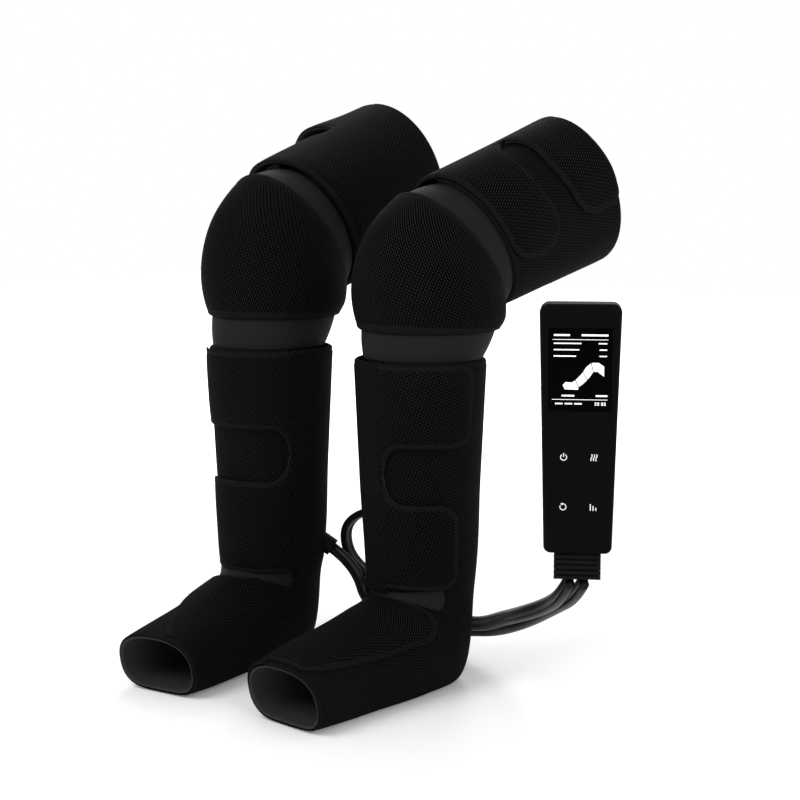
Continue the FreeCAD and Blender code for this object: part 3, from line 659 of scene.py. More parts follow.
def plain_cloth(finishes, name, weave):
    """Cloth with fine upright threads and soft unevenness."""
    made, tree, shader = material(name)
    uv = add(tree, "ShaderNodeUVMap", uv_map="cloth").outputs["UV"]
    threads = add(tree, "ShaderNodeTexWave", {
        "Vector": uv, "Scale": WAVE_PERIOD / (weave.thread * MM), "Distortion": 0.4, "Detail": 1.0})
    place = add(tree, "ShaderNodeTexCoord").outputs["Object"]
    code = getattr(finishes, weave.colour)
    mottled, _ = uneven_colour(tree, place, code, CLOTH_MOTTLES, detail=4.0, spread=0.2)
    tree.links.new(mottled, shader.inputs["Base Color"])
    bump = add(tree, "ShaderNodeBump", {
        "Height": threads.outputs["Fac"], "Strength": 0.3, "Distance": weave.relief * MM})
    tree.links.new(bump.outputs["Normal"], shader.inputs["Normal"])
    shader.inputs["Roughness"].default_value = weave.roughness
    shader.inputs["Specular IOR Level"].default_value = 0.06
    return made


def moulded(finishes, name, moulding):
    """Moulded, printed or cast surface: one colour with fine grain and slightly uneven gloss."""
    made, tree, shader = material(name)
    place = add(tree, "ShaderNodeTexCoord").outputs["Object"]
    code = getattr(finishes, moulding.colour)
    varied, broad = uneven_colour(tree, place, code, GLOSS_PATCHES, detail=2.0, spread=0.08)
    tree.links.new(varied, shader.inputs["Base Color"])
    gloss = add(tree, "ShaderNodeMapRange", {
        "Value": broad, "To Min": moulding.roughness * 0.9, "To Max": moulding.roughness * 1.1})
    tree.links.new(gloss.outputs["Result"], shader.inputs["Roughness"])
    grain = add(tree, "ShaderNodeTexNoise", {
        "Vector": place, "Scale": 1 / (moulding.grain * MM), "Detail": 2.0})
    bump = add(tree, "ShaderNodeBump", {
        "Height": grain.outputs["Fac"], "Strength": 0.15, "Distance": GRAIN_RELIEF})
    tree.links.new(bump.outputs["Normal"], shader.inputs["Normal"])
    shader.inputs["Metallic"].default_value = moulding.metallic
    shader.inputs["Specular IOR Level"].default_value = moulding.specular
    shader.inputs["Emission Color"].default_value = rgb(code)
    shader.inputs["Emission Strength"].default_value = moulding.glow
    return made


def finish_of(name):
    """A finish, made the first time it is asked for."""
    if name in bpy.data.materials:
        return bpy.data.materials[name]
    finishes = bpy.context.scene.wrap_finishes
    if name in WEAVES:
        return plain_cloth(finishes, name, WEAVES[name])
    if name in MOULDINGS:
        return moulded(finishes, name, MOULDINGS[name])
    return ribbed_knit(finishes)


# Stitches

def stitch_tree():
    """Geometry nodes that lay stitches of a given size along the edges of a mesh."""
    name = "stitch_line"
    if name in bpy.data.node_groups:
        return bpy.data.node_groups[name]
    tree = bpy.data.node_groups.new(name, "GeometryNodeTree")
    tree.interface.new_socket("Geometry", in_out="INPUT", socket_type="NodeSocketGeometry")
    for label in ("Pitch", "Length", "Radius"):
        tree.interface.new_socket(label, in_out="INPUT", socket_type="NodeSocketFloat")
    tree.interface.new_socket("Thread", in_out="INPUT", socket_type="NodeSocketMaterial")
    tree.interface.new_socket("Geometry", in_out="OUTPUT", socket_type="NodeSocketGeometry")
    given = add(tree, "NodeGroupInput").outputs
    line = add(tree, "GeometryNodeMeshToCurve", {"Mesh": given["Geometry"]}).outputs["Curve"]
    spaced = add(tree, "GeometryNodeResampleCurve", {"Curve": line, "Length": given["Pitch"]}, mode="LENGTH")
    one = add(tree, "GeometryNodeMeshCylinder", {
        "Vertices": 6, "Side Segments": 1, "Radius": given["Radius"], "Depth": given["Length"]})
    along = add(tree, "GeometryNodeInputTangent").outputs["Tangent"]
    turn = add(tree, "FunctionNodeAlignRotationToVector", {"Vector": along}, axis="Z").outputs["Rotation"]
    laid = add(tree, "GeometryNodeInstanceOnPoints", {
        "Points": spaced.outputs["Curve"], "Instance": one.outputs["Mesh"],
        "Rotation": turn}).outputs["Instances"]
    real = add(tree, "GeometryNodeRealizeInstances", {"Geometry": laid}).outputs["Geometry"]
    ready = add(tree, "GeometryNodeSetMaterial", {"Geometry": real, "Material": given["Thread"]})
    add(tree, "NodeGroupOutput", {"Geometry": ready.outputs["Geometry"]})
    return tree


def stitch_piece(sizes, name, paths):
    """Stitches along one or more lines, as a plain mesh."""
    verts, edges = [], []
    for path in paths:
        first = len(verts)
        verts += [tuple(p) for p in path]
        edges += [(i, i + 1) for i in range(first, len(verts) - 1)]
    mesh = bpy.data.meshes.new(name + "_line")
    mesh.from_pydata(verts, edges, [])
    piece = linked(name, mesh)
    tree = stitch_tree()
    sewn = piece.modifiers.new("stitches", "NODES")
    sewn.node_group = tree
    values = {
        "Pitch": sizes.stitch_pitch, "Length": sizes.stitch, "Radius": sizes.thread,
        "Thread": finish_of("polyester_sewing_thread"),
    }
    for item in tree.interface.items_tree:
        if item.in_out == "INPUT" and item.name in values:
            sewn[item.identifier] = values[item.name]
    evaluated = piece.evaluated_get(bpy.context.evaluated_depsgraph_get())
    ready = bpy.data.meshes.new_from_object(evaluated)
    piece.modifiers.clear()
    piece.data = ready
    ready.name = name
    bpy.data.meshes.remove(mesh)
    return piece


# Soft pieces

def dress(piece, body, nodes):
    """Rides a finished piece on its body and hides the model parts that it replaces."""
    if body is not None:
        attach(piece, body)
    if nodes:
        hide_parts(*nodes)


def rim_steps(half):
    """Distances that draw a half round rim."""
    return half * (1 - np.cos(np.linspace(0, math.pi / 2, RIM_POINTS)))


def around(columns):
    """Angles round a tube in degrees, close together at the flaps' root."""
    before = np.linspace(-180, -ROOT_FADE_DEG, columns)
    after = np.linspace(ROOT_FADE_DEG, 180, columns)
    return np.concatenate([before, ROOT_STEPS_DEG, after])


def raised(phi):
    """1 on the padding behind a flap's root, falling off to 0 at the root and under the flap."""
    return smooth(ROOT_FADE_DEG, 0, phi) * smooth(-180, BACK_FADE_DEG, phi)


def run_along(points):
    """Distance along a tube's surface from its first row."""
    steps = np.linalg.norm(np.diff(points, axis=0), axis=-1)
    return np.concatenate([np.zeros((1, points.shape[1])), np.cumsum(steps, axis=0)])


def rings(form, matrix, places, offset):
    """Lines round a tube at distances along it."""
    theta = np.radians(np.linspace(-180, 180, RING_POINTS))
    lines = [form.skin(np.full_like(theta, t), theta, offset(t, theta)) for t in places]
    return [moved(line, matrix) for line in lines]


def gusset_edges(side, theta):
    """Lower and upper edge of the ankle gusset, in metres from the toe, drawn together at its ends."""
    (first, last), low, high = GUSSETS[side]
    angle_deg = np.degrees(theta)
    share = smooth(first, first + GUSSET_CHANGE_DEG, angle_deg)
    low_edge, high_edge = mix(*low, share), mix(*high, share)
    ends = np.minimum(angle_deg - first, last - angle_deg)
    drawn_in = np.sqrt(np.clip(1 - smooth(GUSSET_END_DEG, 0, ends) ** 2, 0, 1))
    half = (high_edge - low_edge) / 2 * drawn_in
    middle = (low_edge + high_edge) / 2
    return (middle - half) * MM, (middle + half) * MM


def gusset_share(sizes, side, t, theta):
    """1 where the padding leaves room for the ankle gusset."""
    low, high = gusset_edges(side, theta)
    span = np.degrees(theta)
    soft = sizes.gusset_soft
    inside = smooth(low - soft, low + soft, t) * smooth(high + soft, high - soft, t)
    start, end = GUSSETS[side][0]
    out, within = GUSSET_FADE_DEG
    return inside * smooth(start - out, start + within, span) * smooth(end + out, end - within, span)


def boot_form(sizes):
    return Form(BOOT_SECTIONS, TOE_SQUARE_TAPERS * sizes.toe_taper)


def instep_rise(sizes, t, theta):
    """Height of the foot flap above the cover, thinner towards the toe."""
    full = sizes.foot_rise + sizes.foot_rise_change * np.cos(theta)
    return full * mix(TOE_RISE_SHARE, 1, smooth(0, sizes.toe_taper, t))


def boot_piece(sizes, side):
    """Foot and calf of one wrap: a padded tube with an open toe, raised behind the roots of its flaps."""
    form = boot_form(sizes)
    ankle = form.knots[ANKLE_SECTION]
    rim, toe_rim = rim_steps(sizes.wall / 2), rim_steps(sizes.toe_wall / 2)
    rows = round(form.length / sizes.cell)
    between = np.linspace(toe_rim[-1], form.length - rim[-1], rows)[1:-1]
    t = np.concatenate([toe_rim, between, form.length - rim[::-1]])
    wall = mix(sizes.toe_wall, sizes.wall, smooth(0, sizes.toe_taper, t)[:, None])
    phi = around(round(BOOT_HALF_GIRTH / sizes.cell))
    below, over = ROOT_TURN_MM
    share = smooth(ankle + below * MM, ankle + over * MM, t)
    root = mix(FOOT_ROOT_DEG, CALF_ROOT_DEG[side], share)
    theta = np.radians(root[:, None] + phi[None, :])
    tt = np.broadcast_to(t[:, None], theta.shape)
    foot_raise = instep_rise(sizes, tt, theta)
    calf_raise = sizes.rise + sizes.rise_change * np.cos(np.radians(phi))[None, :]
    raise_by = mix(foot_raise, calf_raise, share[:, None])
    wrapped = (theta + math.pi) % (2 * math.pi) - math.pi
    outer = raise_by * raised(phi)[None, :] * (1 - gusset_share(sizes, side, tt, wrapped))
    ends = np.minimum(t, form.length - t)[:, None]
    lost = rounded(ends, wall / 2)
    outside = form.skin(tt, theta, outer - lost - groove(sizes, ends - sizes.rim_tape))
    inside = form.skin(tt, theta, lost - wall)
    outside[..., 2] = above(outside[..., 2], 0, sizes.sole)
    inside[..., 2] = above(inside[..., 2], wall - lost, sizes.sole)
    uv = np.stack([theta * BOOT_SECTIONS[ANKLE_SECTION][2] * MM, tt], -1)
    hem = RIM_TAPE_SHARE * smooth(sizes.rim_tape, sizes.rim_tape - sizes.seam_width, ends)
    matrix = leg_matrix(sizes, side)
    patches = [Patch(moved(outside, matrix), uv, 0, hem), Patch(moved(inside, matrix), uv, 1, 1)]
    piece = build(f"{side}_boot", patches, padding())
    nodes = ["foot_cover", "foot_bladder", "foot_lining", "calf_cover", "calf_bladders", "calf_lining"]
    dress(piece, "base", [f"{side}_{n}" for n in nodes])


def tube_piece(sizes, side, name, form, wall, outer, nodes, under_flaps=None):
    """A padded tube, open and taped at both ends, and flat between the angles that lie under flaps."""
    half = wall / 2
    rim = rim_steps(half)
    rows = max(FEWEST_TUBE_ROWS, round(form.length / sizes.cell))
    between = np.linspace(half, form.length - half, rows)[1:-1]
    t = np.concatenate([rim, between, form.length - rim[::-1]])
    columns = round(CUFF_HALF_GIRTH / sizes.cell)
    phi = around(columns) if under_flaps else np.linspace(-180, 180, 2 * columns)
    tt, theta = np.meshgrid(t, np.radians(phi), indexing="ij")
    ends = np.minimum(tt, form.length - tt)
    lost = rounded(ends, half)
    outside = form.skin(tt, theta, outer(tt, theta) - lost - groove(sizes, ends - sizes.rim_tape))
    inside = form.skin(tt, theta, -wall + lost)
    uv = np.stack([theta * BOOT_SECTIONS[-1][2] * MM, run_along(outside)], -1)
    hem = smooth(sizes.rim_tape, sizes.rim_tape - sizes.seam_width, ends)
    matrix = leg_matrix(sizes, side)
    sewn = ends < sizes.rim_tape + sizes.seam_width
    if under_flaps:
        sewn |= (phi > under_flaps[0]) & (phi < under_flaps[1])
    patches = [Patch(moved(outside, matrix), uv, 0, hem, sewn), Patch(moved(inside, matrix), uv, 1, 1)]
    piece = build(f"{side}_{name}_tube", patches, padding())
    puff(sizes, piece)
    dress(piece, f"{side}_{name}", [f"{side}_{n}" for n in nodes])

    def thread_height(t, theta):
        return outer(t, theta) - sizes.seam_depth + sizes.thread

    lines = rings(form, matrix, (sizes.rim_tape, form.length - sizes.rim_tape), thread_height)
    seams = stitch_piece(sizes, f"{side}_{name}_stitches", lines)
    dress(seams, f"{side}_{name}", ())


def knee_cup(sizes, side):
    """The smooth padded cup over one knee."""
    def outer(t, theta):
        return 0 * theta

    form = Form(KNEE_SECTIONS[side])
    tube_piece(sizes, side, "knee", form, sizes.knee_wall, outer, ["knee_cover", "knee_heat_pad"])


def thigh_cuff(sizes, side):
    """The padded cuff round one thigh."""
    def outer(t, theta):
        return (sizes.rise + sizes.rise_change * np.cos(theta)) * raised(np.degrees(theta))

    form = Form(THIGH_SECTIONS[side])
    nodes = ["thigh_cover", "thigh_bladder", "thigh_lining"]
    tube_piece(sizes, side, "thigh", form, sizes.wall, outer, nodes, under_flaps=UNDER_FLAPS_DEG)


# Flaps

def drawn_edge(points, across, along):
    """A flap's edge as a function of the distance from its root, drawn through given points."""
    knots = np.array([p[0] - points[0][0] for p in points]) * across
    values = np.array([[p[1]] for p in points]) * along
    return lambda d: spline(values, knots, d)[:, 0]


def straight_edge(level, reach, sign, corner, fillet, fillet_depth):
    """A flap's straight edge, flared at its root and rounded at its free end."""
    def edge(d):
        line = np.full_like(d, level)
        line += sign * rounded(reach - d, corner)
        root = np.clip(1 - d / fillet_depth, 0, 1)
        return line - sign * fillet * (1 - np.sqrt(1 - root**2))
    return edge


def flap_border(flap):
    """The free edge of a flap, from its root round its end and back."""
    d = np.linspace(0, flap.reach, BORDER_POINTS)
    low, high = flap.low(d), flap.high(d)
    tip = np.linspace(low[-1], high[-1], TIP_POINTS)
    out = np.stack([d, low], -1)
    across = np.stack([np.full_like(tip, flap.reach), tip], -1)
    back = np.stack([d, high], -1)[::-1]
    return np.concatenate([out, across, back])


def edge_distance(points, border):
    """Distance of each point from a flap's free edge."""
    return np.sqrt(((points[:, None] - border[None]) ** 2).sum(-1)).min(1)


def seam_line(sizes, flap):
    """The stitched line on a flap, inside its binding."""
    border = flap_border(flap)
    along = np.gradient(border, axis=0)
    along /= np.maximum(np.linalg.norm(along, axis=1), 1e-9)[:, None]
    inset = sizes.binding + sizes.seam_width
    inner = border + np.stack([-along[:, 1], along[:, 0]], -1) * inset
    clear = edge_distance(inner, border) > SEAM_CLEAR_SHARE * inset
    line = inner[clear & (inner[:, 0] > inset)]
    d, s = line[:, :1], line[:, 1:]
    return flap.place(d, s, flap.rise(d, s) - sizes.seam_depth + sizes.thread)[:, 0]


def flap_piece(sizes, side, flap):
    """A padded flap with taped edges."""
    steps = max(FEWEST_FLAP_ROWS, round(flap.reach / FLAP_CELL))
    d = flap.reach * np.sin(np.linspace(0, math.pi / 2, steps))
    d = np.concatenate([(-sizes.root_lap, -ROOT_LAP_SHARE * sizes.root_lap), d])
    low, high = flap.low(np.maximum(d, 0)), flap.high(np.maximum(d, 0))
    count = max(FEWEST_FLAP_ROWS, round((high - low).max() / FLAP_CELL))
    v = (1 - np.cos(np.linspace(0, math.pi, count))) / 2
    s = low[:, None] + (high - low)[:, None] * v[None, :]
    dd = np.broadcast_to(d[:, None], s.shape)
    far = edge_distance(np.stack([dd, s], -1).reshape(-1, 2), flap_border(flap)).reshape(s.shape)
    far[:, (0, -1)] = 0
    far[-1, :] = 0
    far[:2, 1:-1] = sizes.edge
    bulge = np.sqrt(1 - np.clip(1 - far / sizes.edge, 0, 1) ** 2)
    top = flap.rise(dd, s)
    under = top - flap.rise(np.zeros_like(dd), s)
    bottom = np.maximum(sizes.flap_gap, sizes.flap_gap + under)
    middle, thick = (top + bottom) / 2, (top - bottom) / 2
    seam = groove(sizes, far - sizes.binding - sizes.seam_width)
    upper = flap.place(dd, s, middle + thick * bulge - seam * bulge)
    lower = flap.place(dd, s, middle - thick * bulge)
    uv = np.stack([dd + flap.uv_start, s], -1)
    hem = smooth(sizes.binding + sizes.seam_width, sizes.binding, far)
    matrix = leg_matrix(sizes, side)
    root_wall = np.stack([upper[0], lower[0]])
    sewn = (far < sizes.binding + 2 * sizes.seam_width) | (dd < sizes.edge)
    patches = [
        Patch(moved(upper, matrix), uv, 0, hem, sewn),
        Patch(moved(lower, matrix), uv, 1, 1),
        Patch(moved(root_wall, matrix), np.stack([uv[0], uv[0]]), 0, 0),
    ]
    piece = build(f"{side}_{flap.name}_pad", patches, padding())
    puff(sizes, piece)
    dress(piece, None, [f"{side}_{flap.name}_flap"])
    line = moved(seam_line(sizes, flap), matrix)
    seams = stitch_piece(sizes, f"{side}_{flap.name}_stitches", [line])
    for soft in (piece, seams):
        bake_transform(soft)


def calf_flaps(sizes, side):
    """The two flaps that close one calf."""
    root = math.radians(CALF_ROOT_DEG[side])
    ankle, top = BOOT_SECTIONS[ANKLE_SECTION], BOOT_SECTIONS[-1]
    low_z, high_z = ankle[0][1] * MM, top[0][1] * MM

    def radius(z):
        return mix(ankle[2], top[2], (z - low_z) / (high_z - low_z)) * MM

    for name, facts in CALF_FLAPS.items():
        *levels, end_deg = facts[side]
        edges = [z * MM for z in levels]
        mean = radius(sum(edges) / 2)
        reach = (math.radians(end_deg) - root) * mean

        def place(d, z, offset, mean=mean):
            a = root + d / mean
            r = radius(z) + offset
            return np.stack([r * np.sin(a), sizes.calf_middle - r * np.cos(a), z + 0 * a], -1)

        def rise(d, z, mean=mean):
            return sizes.rise + sizes.rise_change * np.cos(d / mean)

        low, high = (
            straight_edge(level, reach, sign, corner * MM, fillet * MM, sizes.fillet_depth)
            for level, sign, corner, fillet in zip(edges, (1, -1), facts["corners"], facts["fillets"])
        )
        start = place(np.array(0.0), np.array(sum(edges) / 2), sizes.rise + sizes.rise_change)
        towards = (math.cos(root), math.sin(root), 0)
        flap = Flap(name, "base", reach, low, high, place, rise, start, towards, uv_start=root * mean)
        flap_piece(sizes, side, flap)


def foot_flap(sizes, side):
    """The flap over one instep."""
    form = boot_form(sizes)
    root = math.radians(FOOT_ROOT_DEG)
    mean = BOOT_SECTIONS[1][2] * MM
    low_points, high_points = FOOT_FLAP_EDGES[side]
    reach = math.radians(low_points[-1][0] - FOOT_ROOT_DEG) * mean

    def place(d, t, offset):
        points = form.skin(t, root + d / mean, offset)
        points[..., 2] = above(points[..., 2], 0, sizes.sole)
        return points

    def rise(d, t):
        return instep_rise(sizes, t, root + d / mean)

    across = math.radians(1) * mean
    middle = np.array([[form.knots[1]]])
    start = place(0 * middle, middle, sizes.foot_rise)[0, 0]
    low, high = (drawn_edge(points, across, MM) for points in (low_points, high_points))
    flap = Flap("foot", "base", reach, low, high, place, rise, start, (1, 0, 0), uv_start=root * mean)
    flap_piece(sizes, side, flap)


def thigh_flaps(sizes, side):
    """The two flaps that close one thigh cuff."""
    form = Form(THIGH_SECTIONS[side])
    mean = THIGH_SECTIONS[side][0][2] * MM
    across = math.radians(1) * mean
    for name, (low_points, high_points) in THIGH_FLAP_EDGES[side].items():
        reach = low_points[-1][0] * across

        def place(d, t, offset):
            return form.skin(t, d / mean, offset)

        low, high = (drawn_edge(points, across, form.length) for points in (low_points, high_points))
        first, last = low(np.zeros(1))[0], high(np.zeros(1))[0]
        lift = LOOSE_LIFT[name] * MM if side == "right" else 0

        def rise(d, t, first=first, last=last, lift=lift):
            loose = lift * smooth(0, LOOSE_TURN, d / mean) * smooth(last, first, t)
            return sizes.rise + sizes.rise_change * np.cos(d / mean) + loose

        middle = np.array([[(first + last) / 2]])
        start = place(0 * middle, middle, sizes.rise)[0, 0]
        flap = Flap(name, f"{side}_thigh", reach, low, high, place, rise, start, (1, 0, 0), uv_start=0)
        flap_piece(sizes, side, flap)


# Stretch pieces

def inset(section, amount):
    """A section made smaller all round by an amount in millimetres."""
    (fy, fz), (by, bz), half = section
    share = amount / math.hypot(fy - by, fz - bz)
    front = (mix(fy, by, share), mix(fz, bz, share))
    back = (mix(by, fy, share), mix(bz, fz, share))
    return front, back, half - amount


def band_piece(sizes, side, name, sections):
    """A thin stretch sleeve between two padded pieces."""
    form = Form(sections)
    t = np.linspace(0, form.length, BAND_ROWS)
    theta = np.radians(np.linspace(-180, 180, BAND_COLUMNS))
    tt, hh = np.meshgrid(t, theta, indexing="ij")
    waist = sizes.band_wall * np.sin(np.pi * tt / form.length) / 2
    outside = form.skin(tt, hh, waist)
    inside = form.skin(tt, hh, waist - sizes.band_wall)
    uv = np.stack([hh * sections[0][2] * MM, tt], -1)
    matrix = leg_matrix(sizes, side)
    patches = [Patch(moved(outside, matrix), uv, 0, 0), Patch(moved(inside, matrix), uv, 0, 0)]
    for row in (0, -1):
        edge = moved(np.stack([outside[row], inside[row]]), matrix)
        patches.append(Patch(edge, np.stack([uv[row], uv[row]]), 0, 0))
    piece = build(f"{side}_{name}_sleeve", patches, [finish_of("nylon_stretch_knit")])
    fronts, backs, _ = zip(*sections)
    (front_y, front_z), (back_y, back_z) = np.mean(fronts, axis=0), np.mean(backs, axis=0)
    along = np.array([0, front_z - back_z, back_y - front_y])
    along /= np.linalg.norm(along)
    dress(piece, None, [f"{side}_{name}_band"])
    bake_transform(piece)


def bands(sizes, side):
    """The stretch sleeves below and above one knee."""
    amount = sizes.band_inset / MM
    calf_top, knee, thigh = BOOT_SECTIONS[-1], KNEE_SECTIONS[side], THIGH_SECTIONS[side]
    lower = (inset(calf_top, amount), inset(knee[0], amount))
    upper = (inset(knee[-1], amount), inset(thigh[0], amount))
    band_piece(sizes, side, "knee_lower", lower)
    band_piece(sizes, side, "knee_upper", upper)


def gusset_piece(sizes, side):
    """The smooth stretch strip across the front of the ankle."""
    form = boot_form(sizes)
    start, end = np.radians(GUSSETS[side][0])
    theta = np.linspace(start, end, GUSSET_COLUMNS)
    v = np.linspace(0, 1, GUSSET_ROWS)[:, None]
    low, high = gusset_edges(side, theta)
    closed = np.sqrt(1 - np.linspace(-1, 1, GUSSET_COLUMNS) ** GUSSET_END_POWER)
    middle, half = (low + high) / 2, (high - low) / 2 + sizes.gusset_lap * closed
    tt = middle + (2 * v - 1) * half
    hh = np.broadcast_to(theta[None, :], tt.shape)
    crown = np.sqrt(1 - (2 * v - 1) ** 2) * closed[None, :]
    thickness = sizes.band_wall / 2
    outside = form.skin(tt, hh, thickness * (GUSSET_LIFT + crown))
    inside = form.skin(tt, hh, thickness * (GUSSET_LIFT - GUSSET_UNDERSIDE * crown))
    uv = np.stack([hh * BOOT_SECTIONS[ANKLE_SECTION][2] * MM, tt], -1)
    matrix = leg_matrix(sizes, side)
    patches = [Patch(moved(outside, matrix), uv, 0, 0), Patch(moved(inside, matrix), uv, 0, 0)]
    piece = build(f"{side}_gusset", patches, [finish_of("nylon_stretch_knit")])
    dress(piece, "base", [f"{side}_ankle_gusset"])


# Hoses

def route_points(route, name):
    """Points of the smooth line that a hose follows."""
    data = bpy.data.curves.new(name, "CURVE")
    data.dimensions = "3D"
    data.resolution_u = HOSE_SPLINE_STEPS
    line = data.splines.new("NURBS")
    line.points.add(len(route) - 1)
    for point, place in zip(line.points, route):
        point.co = (*place, 1)
    line.order_u = 3
    line.use_endpoint_u = True
    holder = linked(name, data)
    mesh = bpy.data.meshes.new_from_object(holder)
    points = np.array([v.co for v in mesh.vertices])
    bpy.data.objects.remove(holder)
    bpy.data.meshes.remove(mesh)
    return points


def hose_piece(sizes, side):
    """Two tubes moulded side by side: leaning below the boot, then on edge, and flat behind the legs."""
    path = route_points(HOSE_ROUTES[side], f"{side}_hose_line")
    steps = np.linalg.norm(np.diff(path, axis=0), axis=1)
    run = np.concatenate([[0], np.cumsum(steps)])
    tangent = np.gradient(path, run, axis=0)
    tangent /= np.linalg.norm(tangent, axis=1)[:, None]
    first, last = HOSE_LEAN_MM
    wide = mix(HOSE_LEAN, HOSE_UPRIGHT, smooth(first * MM, last * MM, run)[:, None])
    wide = mix(wide, HOSE_BACK, smooth(*HOSE_BACK_SHARES, run / run[-1])[:, None])
    wide = wide - tangent * (wide * tangent).sum(1)[:, None]
    wide /= np.linalg.norm(wide, axis=1)[:, None]
    thin = np.cross(tangent, wide)
    lobe = sizes.hose_lobe
    apart = HOSE_LOBES_APART * lobe
    half_turn = np.radians(np.linspace(-HOSE_LOBE_DEG, HOSE_LOBE_DEG, HOSE_LOBE_POINTS))
    lobe_ring = np.stack([apart + lobe * np.cos(half_turn), lobe * np.sin(half_turn)], -1)
    ring = np.concatenate([lobe_ring, -lobe_ring, lobe_ring[:1]])
    points = path[:, None] + wide[:, None] * ring[None, :, :1] + thin[:, None] * ring[None, :, 1:]
    round_it = np.linalg.norm(np.diff(ring, axis=0), axis=1).cumsum()
    uv = np.stack(np.meshgrid(run, np.concatenate([[0], round_it]), indexing="ij"), -1)
    patches = [Patch(points, uv, 0, 0)]
    for row in (0, -1):
        middle = np.broadcast_to(path[row], points[row].shape)
        patches.append(Patch(np.stack([points[row], middle]), np.stack([uv[row], uv[row]]), 0, 0))
    piece = build(f"{side}_twin_hose", patches, [finish_of("pvc_flexible_hose")])
    dress(piece, "base", [f"{side}_hose"])


# Controller symbols

def stroke(points, width):
    """Outlines of the short bars that draw a line of a given width."""
    bars = []
    points = np.asarray(points, float)
    along = np.gradient(points, axis=0)
    along /= np.linalg.norm(along, axis=1)[:, None]
    across = np.stack([-along[:, 1], along[:, 0]], -1) * width / 2
    left, right = points + across, points - across
    for i in range(len(points) - 1):
        bars.append([left[i], left[i + 1], right[i + 1], right[i]])
    return bars


def arc(centre, radius, first, last):
    """Points on an arc; angles in degrees clockwise from the top."""
    a = np.radians(np.linspace(first, last, ARC_POINTS))
    return np.stack([centre[0] + radius * np.sin(a), centre[1] + radius * np.cos(a)], -1)


def bar(x, z, width, height):
    """An upright rectangle from its left edge and its middle height."""
    low, high = z - height / 2, z + height / 2
    return [(x, low), (x + width, low), (x + width, high), (x, high)]


def printed(sizes, name, outlines, finish, body):
    """Thin printed shapes on the controller's face; outlines in metres from its bottom middle."""
    work = bmesh.new()
    for outline in outlines:
        work.faces.new([work.verts.new((x, 0, z)) for x, z in outline])
    bmesh.ops.remove_doubles(work, verts=work.verts, dist=SLIVER)
    made = bmesh.ops.extrude_face_region(work, geom=list(work.faces))
    lifted = [v for v in made["geom"] if isinstance(v, bmesh.types.BMVert)]
    bmesh.ops.translate(work, verts=lifted, vec=(0, -sizes.print_lift, 0))
    bmesh.ops.triangulate(work, faces=list(work.faces))
    bmesh.ops.recalc_face_normals(work, faces=work.faces)
    place = Matrix.Translation((sizes.x, sizes.y, sizes.z)) @ Matrix.Rotation(sizes.turn, 4, "Z")
    bmesh.ops.transform(work, matrix=place, verts=work.verts)
    mesh = bpy.data.meshes.new(name)
    work.to_mesh(mesh)
    work.free()
    mesh.materials.append(finish_of(finish))
    piece = linked(name, mesh)
    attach(piece, body)
    return piece


def power_symbol(x, z, r, line):
    """An open ring with a bar in its gap."""
    ring = stroke(arc((x, z), r, *POWER_ARC_DEG), line)
    return ring + [bar(x - line / 2, z + POWER_BAR_PLACE * r, line, POWER_BAR_LENGTH * r)]


def heat_symbol(x, z, r, line):
    """Three rising waves."""
    rise = np.linspace(-HEAT_HALF * r, HEAT_HALF * r, WAVE_POINTS)
    sway = HEAT_SWAY * r * np.sin(math.pi * rise / (HEAT_HALF * r))
    waves = []
    for column in HEAT_COLUMNS:
        waves += stroke(np.stack([x + column * r + sway, z + rise], -1), line)
    return waves


def cycle_symbol(x, z, r, line):
    """A ring that ends in an arrow head."""
    head = [(x + r * across, z + r * up) for across, up in CYCLE_HEAD]
    return stroke(arc((x, z), r, *CYCLE_ARC_DEG), line) + [head]


def level_symbol(x, z, r, line):
    """Three bars of falling height."""
    left, low = x - LEVEL_START * r, z - LEVEL_START * r
    heights = [share * r for share in LEVEL_HEIGHTS]
    return [
        bar(left + i * LEVEL_STEP * r, low + height / 2, LEVEL_BAR_LINES * line, height)
        for i, height in enumerate(heights)
    ]


KEY_SYMBOLS = {
    "power": power_symbol, "heat": heat_symbol, "mode": cycle_symbol, "intensity": level_symbol,
}


def digit_bars(sizes, digit, x, z):
    """The lit segments of one digit."""
    tall, line = sizes.digit, sizes.rule
    wide = DIGIT_WIDTH * tall
    right = x + wide - line
    lower, upper = z + tall / 4, z + 3 * tall / 4
    bars = {
        "a": bar(x, z + tall - line / 2, wide, line),
        "g": bar(x, z + tall / 2, wide, line),
        "d": bar(x, z + line / 2, wide, line),
        "f": bar(x, upper, line, tall / 2),
        "b": bar(right, upper, line, tall / 2),
        "e": bar(x, lower, line, tall / 2),
        "c": bar(right, lower, line, tall / 2),
    }
    return [bars[s] for s in SEGMENTS[digit]]


def screen_marks(sizes):
    """Rules, level marks, a leg outline and a clock for the display."""
    half = SCREEN_RULE_HALF * MM
    marks = [bar(-half, z * MM, 2 * half, sizes.rule) for z in SCREEN_RULES]
    marks += [bar(x * MM, z * MM, w * MM, h * MM) for x, z, w, h in SCREEN_MARKS]
    marks += [[(x * MM, z * MM) for x, z in part] for part in SCREEN_LEG.values()]
    x, z = (value * MM for value in CLOCK_PLACE)
    for i, digit in enumerate(CLOCK_DIGITS):
        colon = sizes.digit * COLON_WIDTH if i > 1 else 0
        marks += digit_bars(sizes, digit, x + i * DIGIT_STEP * sizes.digit + colon, z)
    return marks


# Operators

class WrapOperator:
    """Makes a piece on both legs."""

    def execute(self, context):
        for side in SIDES:
            self.make(context.scene.wrap_sizes, side)
        return {"FINISHED"}


class WRAP_OT_hoses(WrapOperator, bpy.types.Operator):
    """Makes the two air hoses."""
    bl_idname = "wrap.hoses"
    bl_label = "Hoses"
    make = staticmethod(hose_piece)


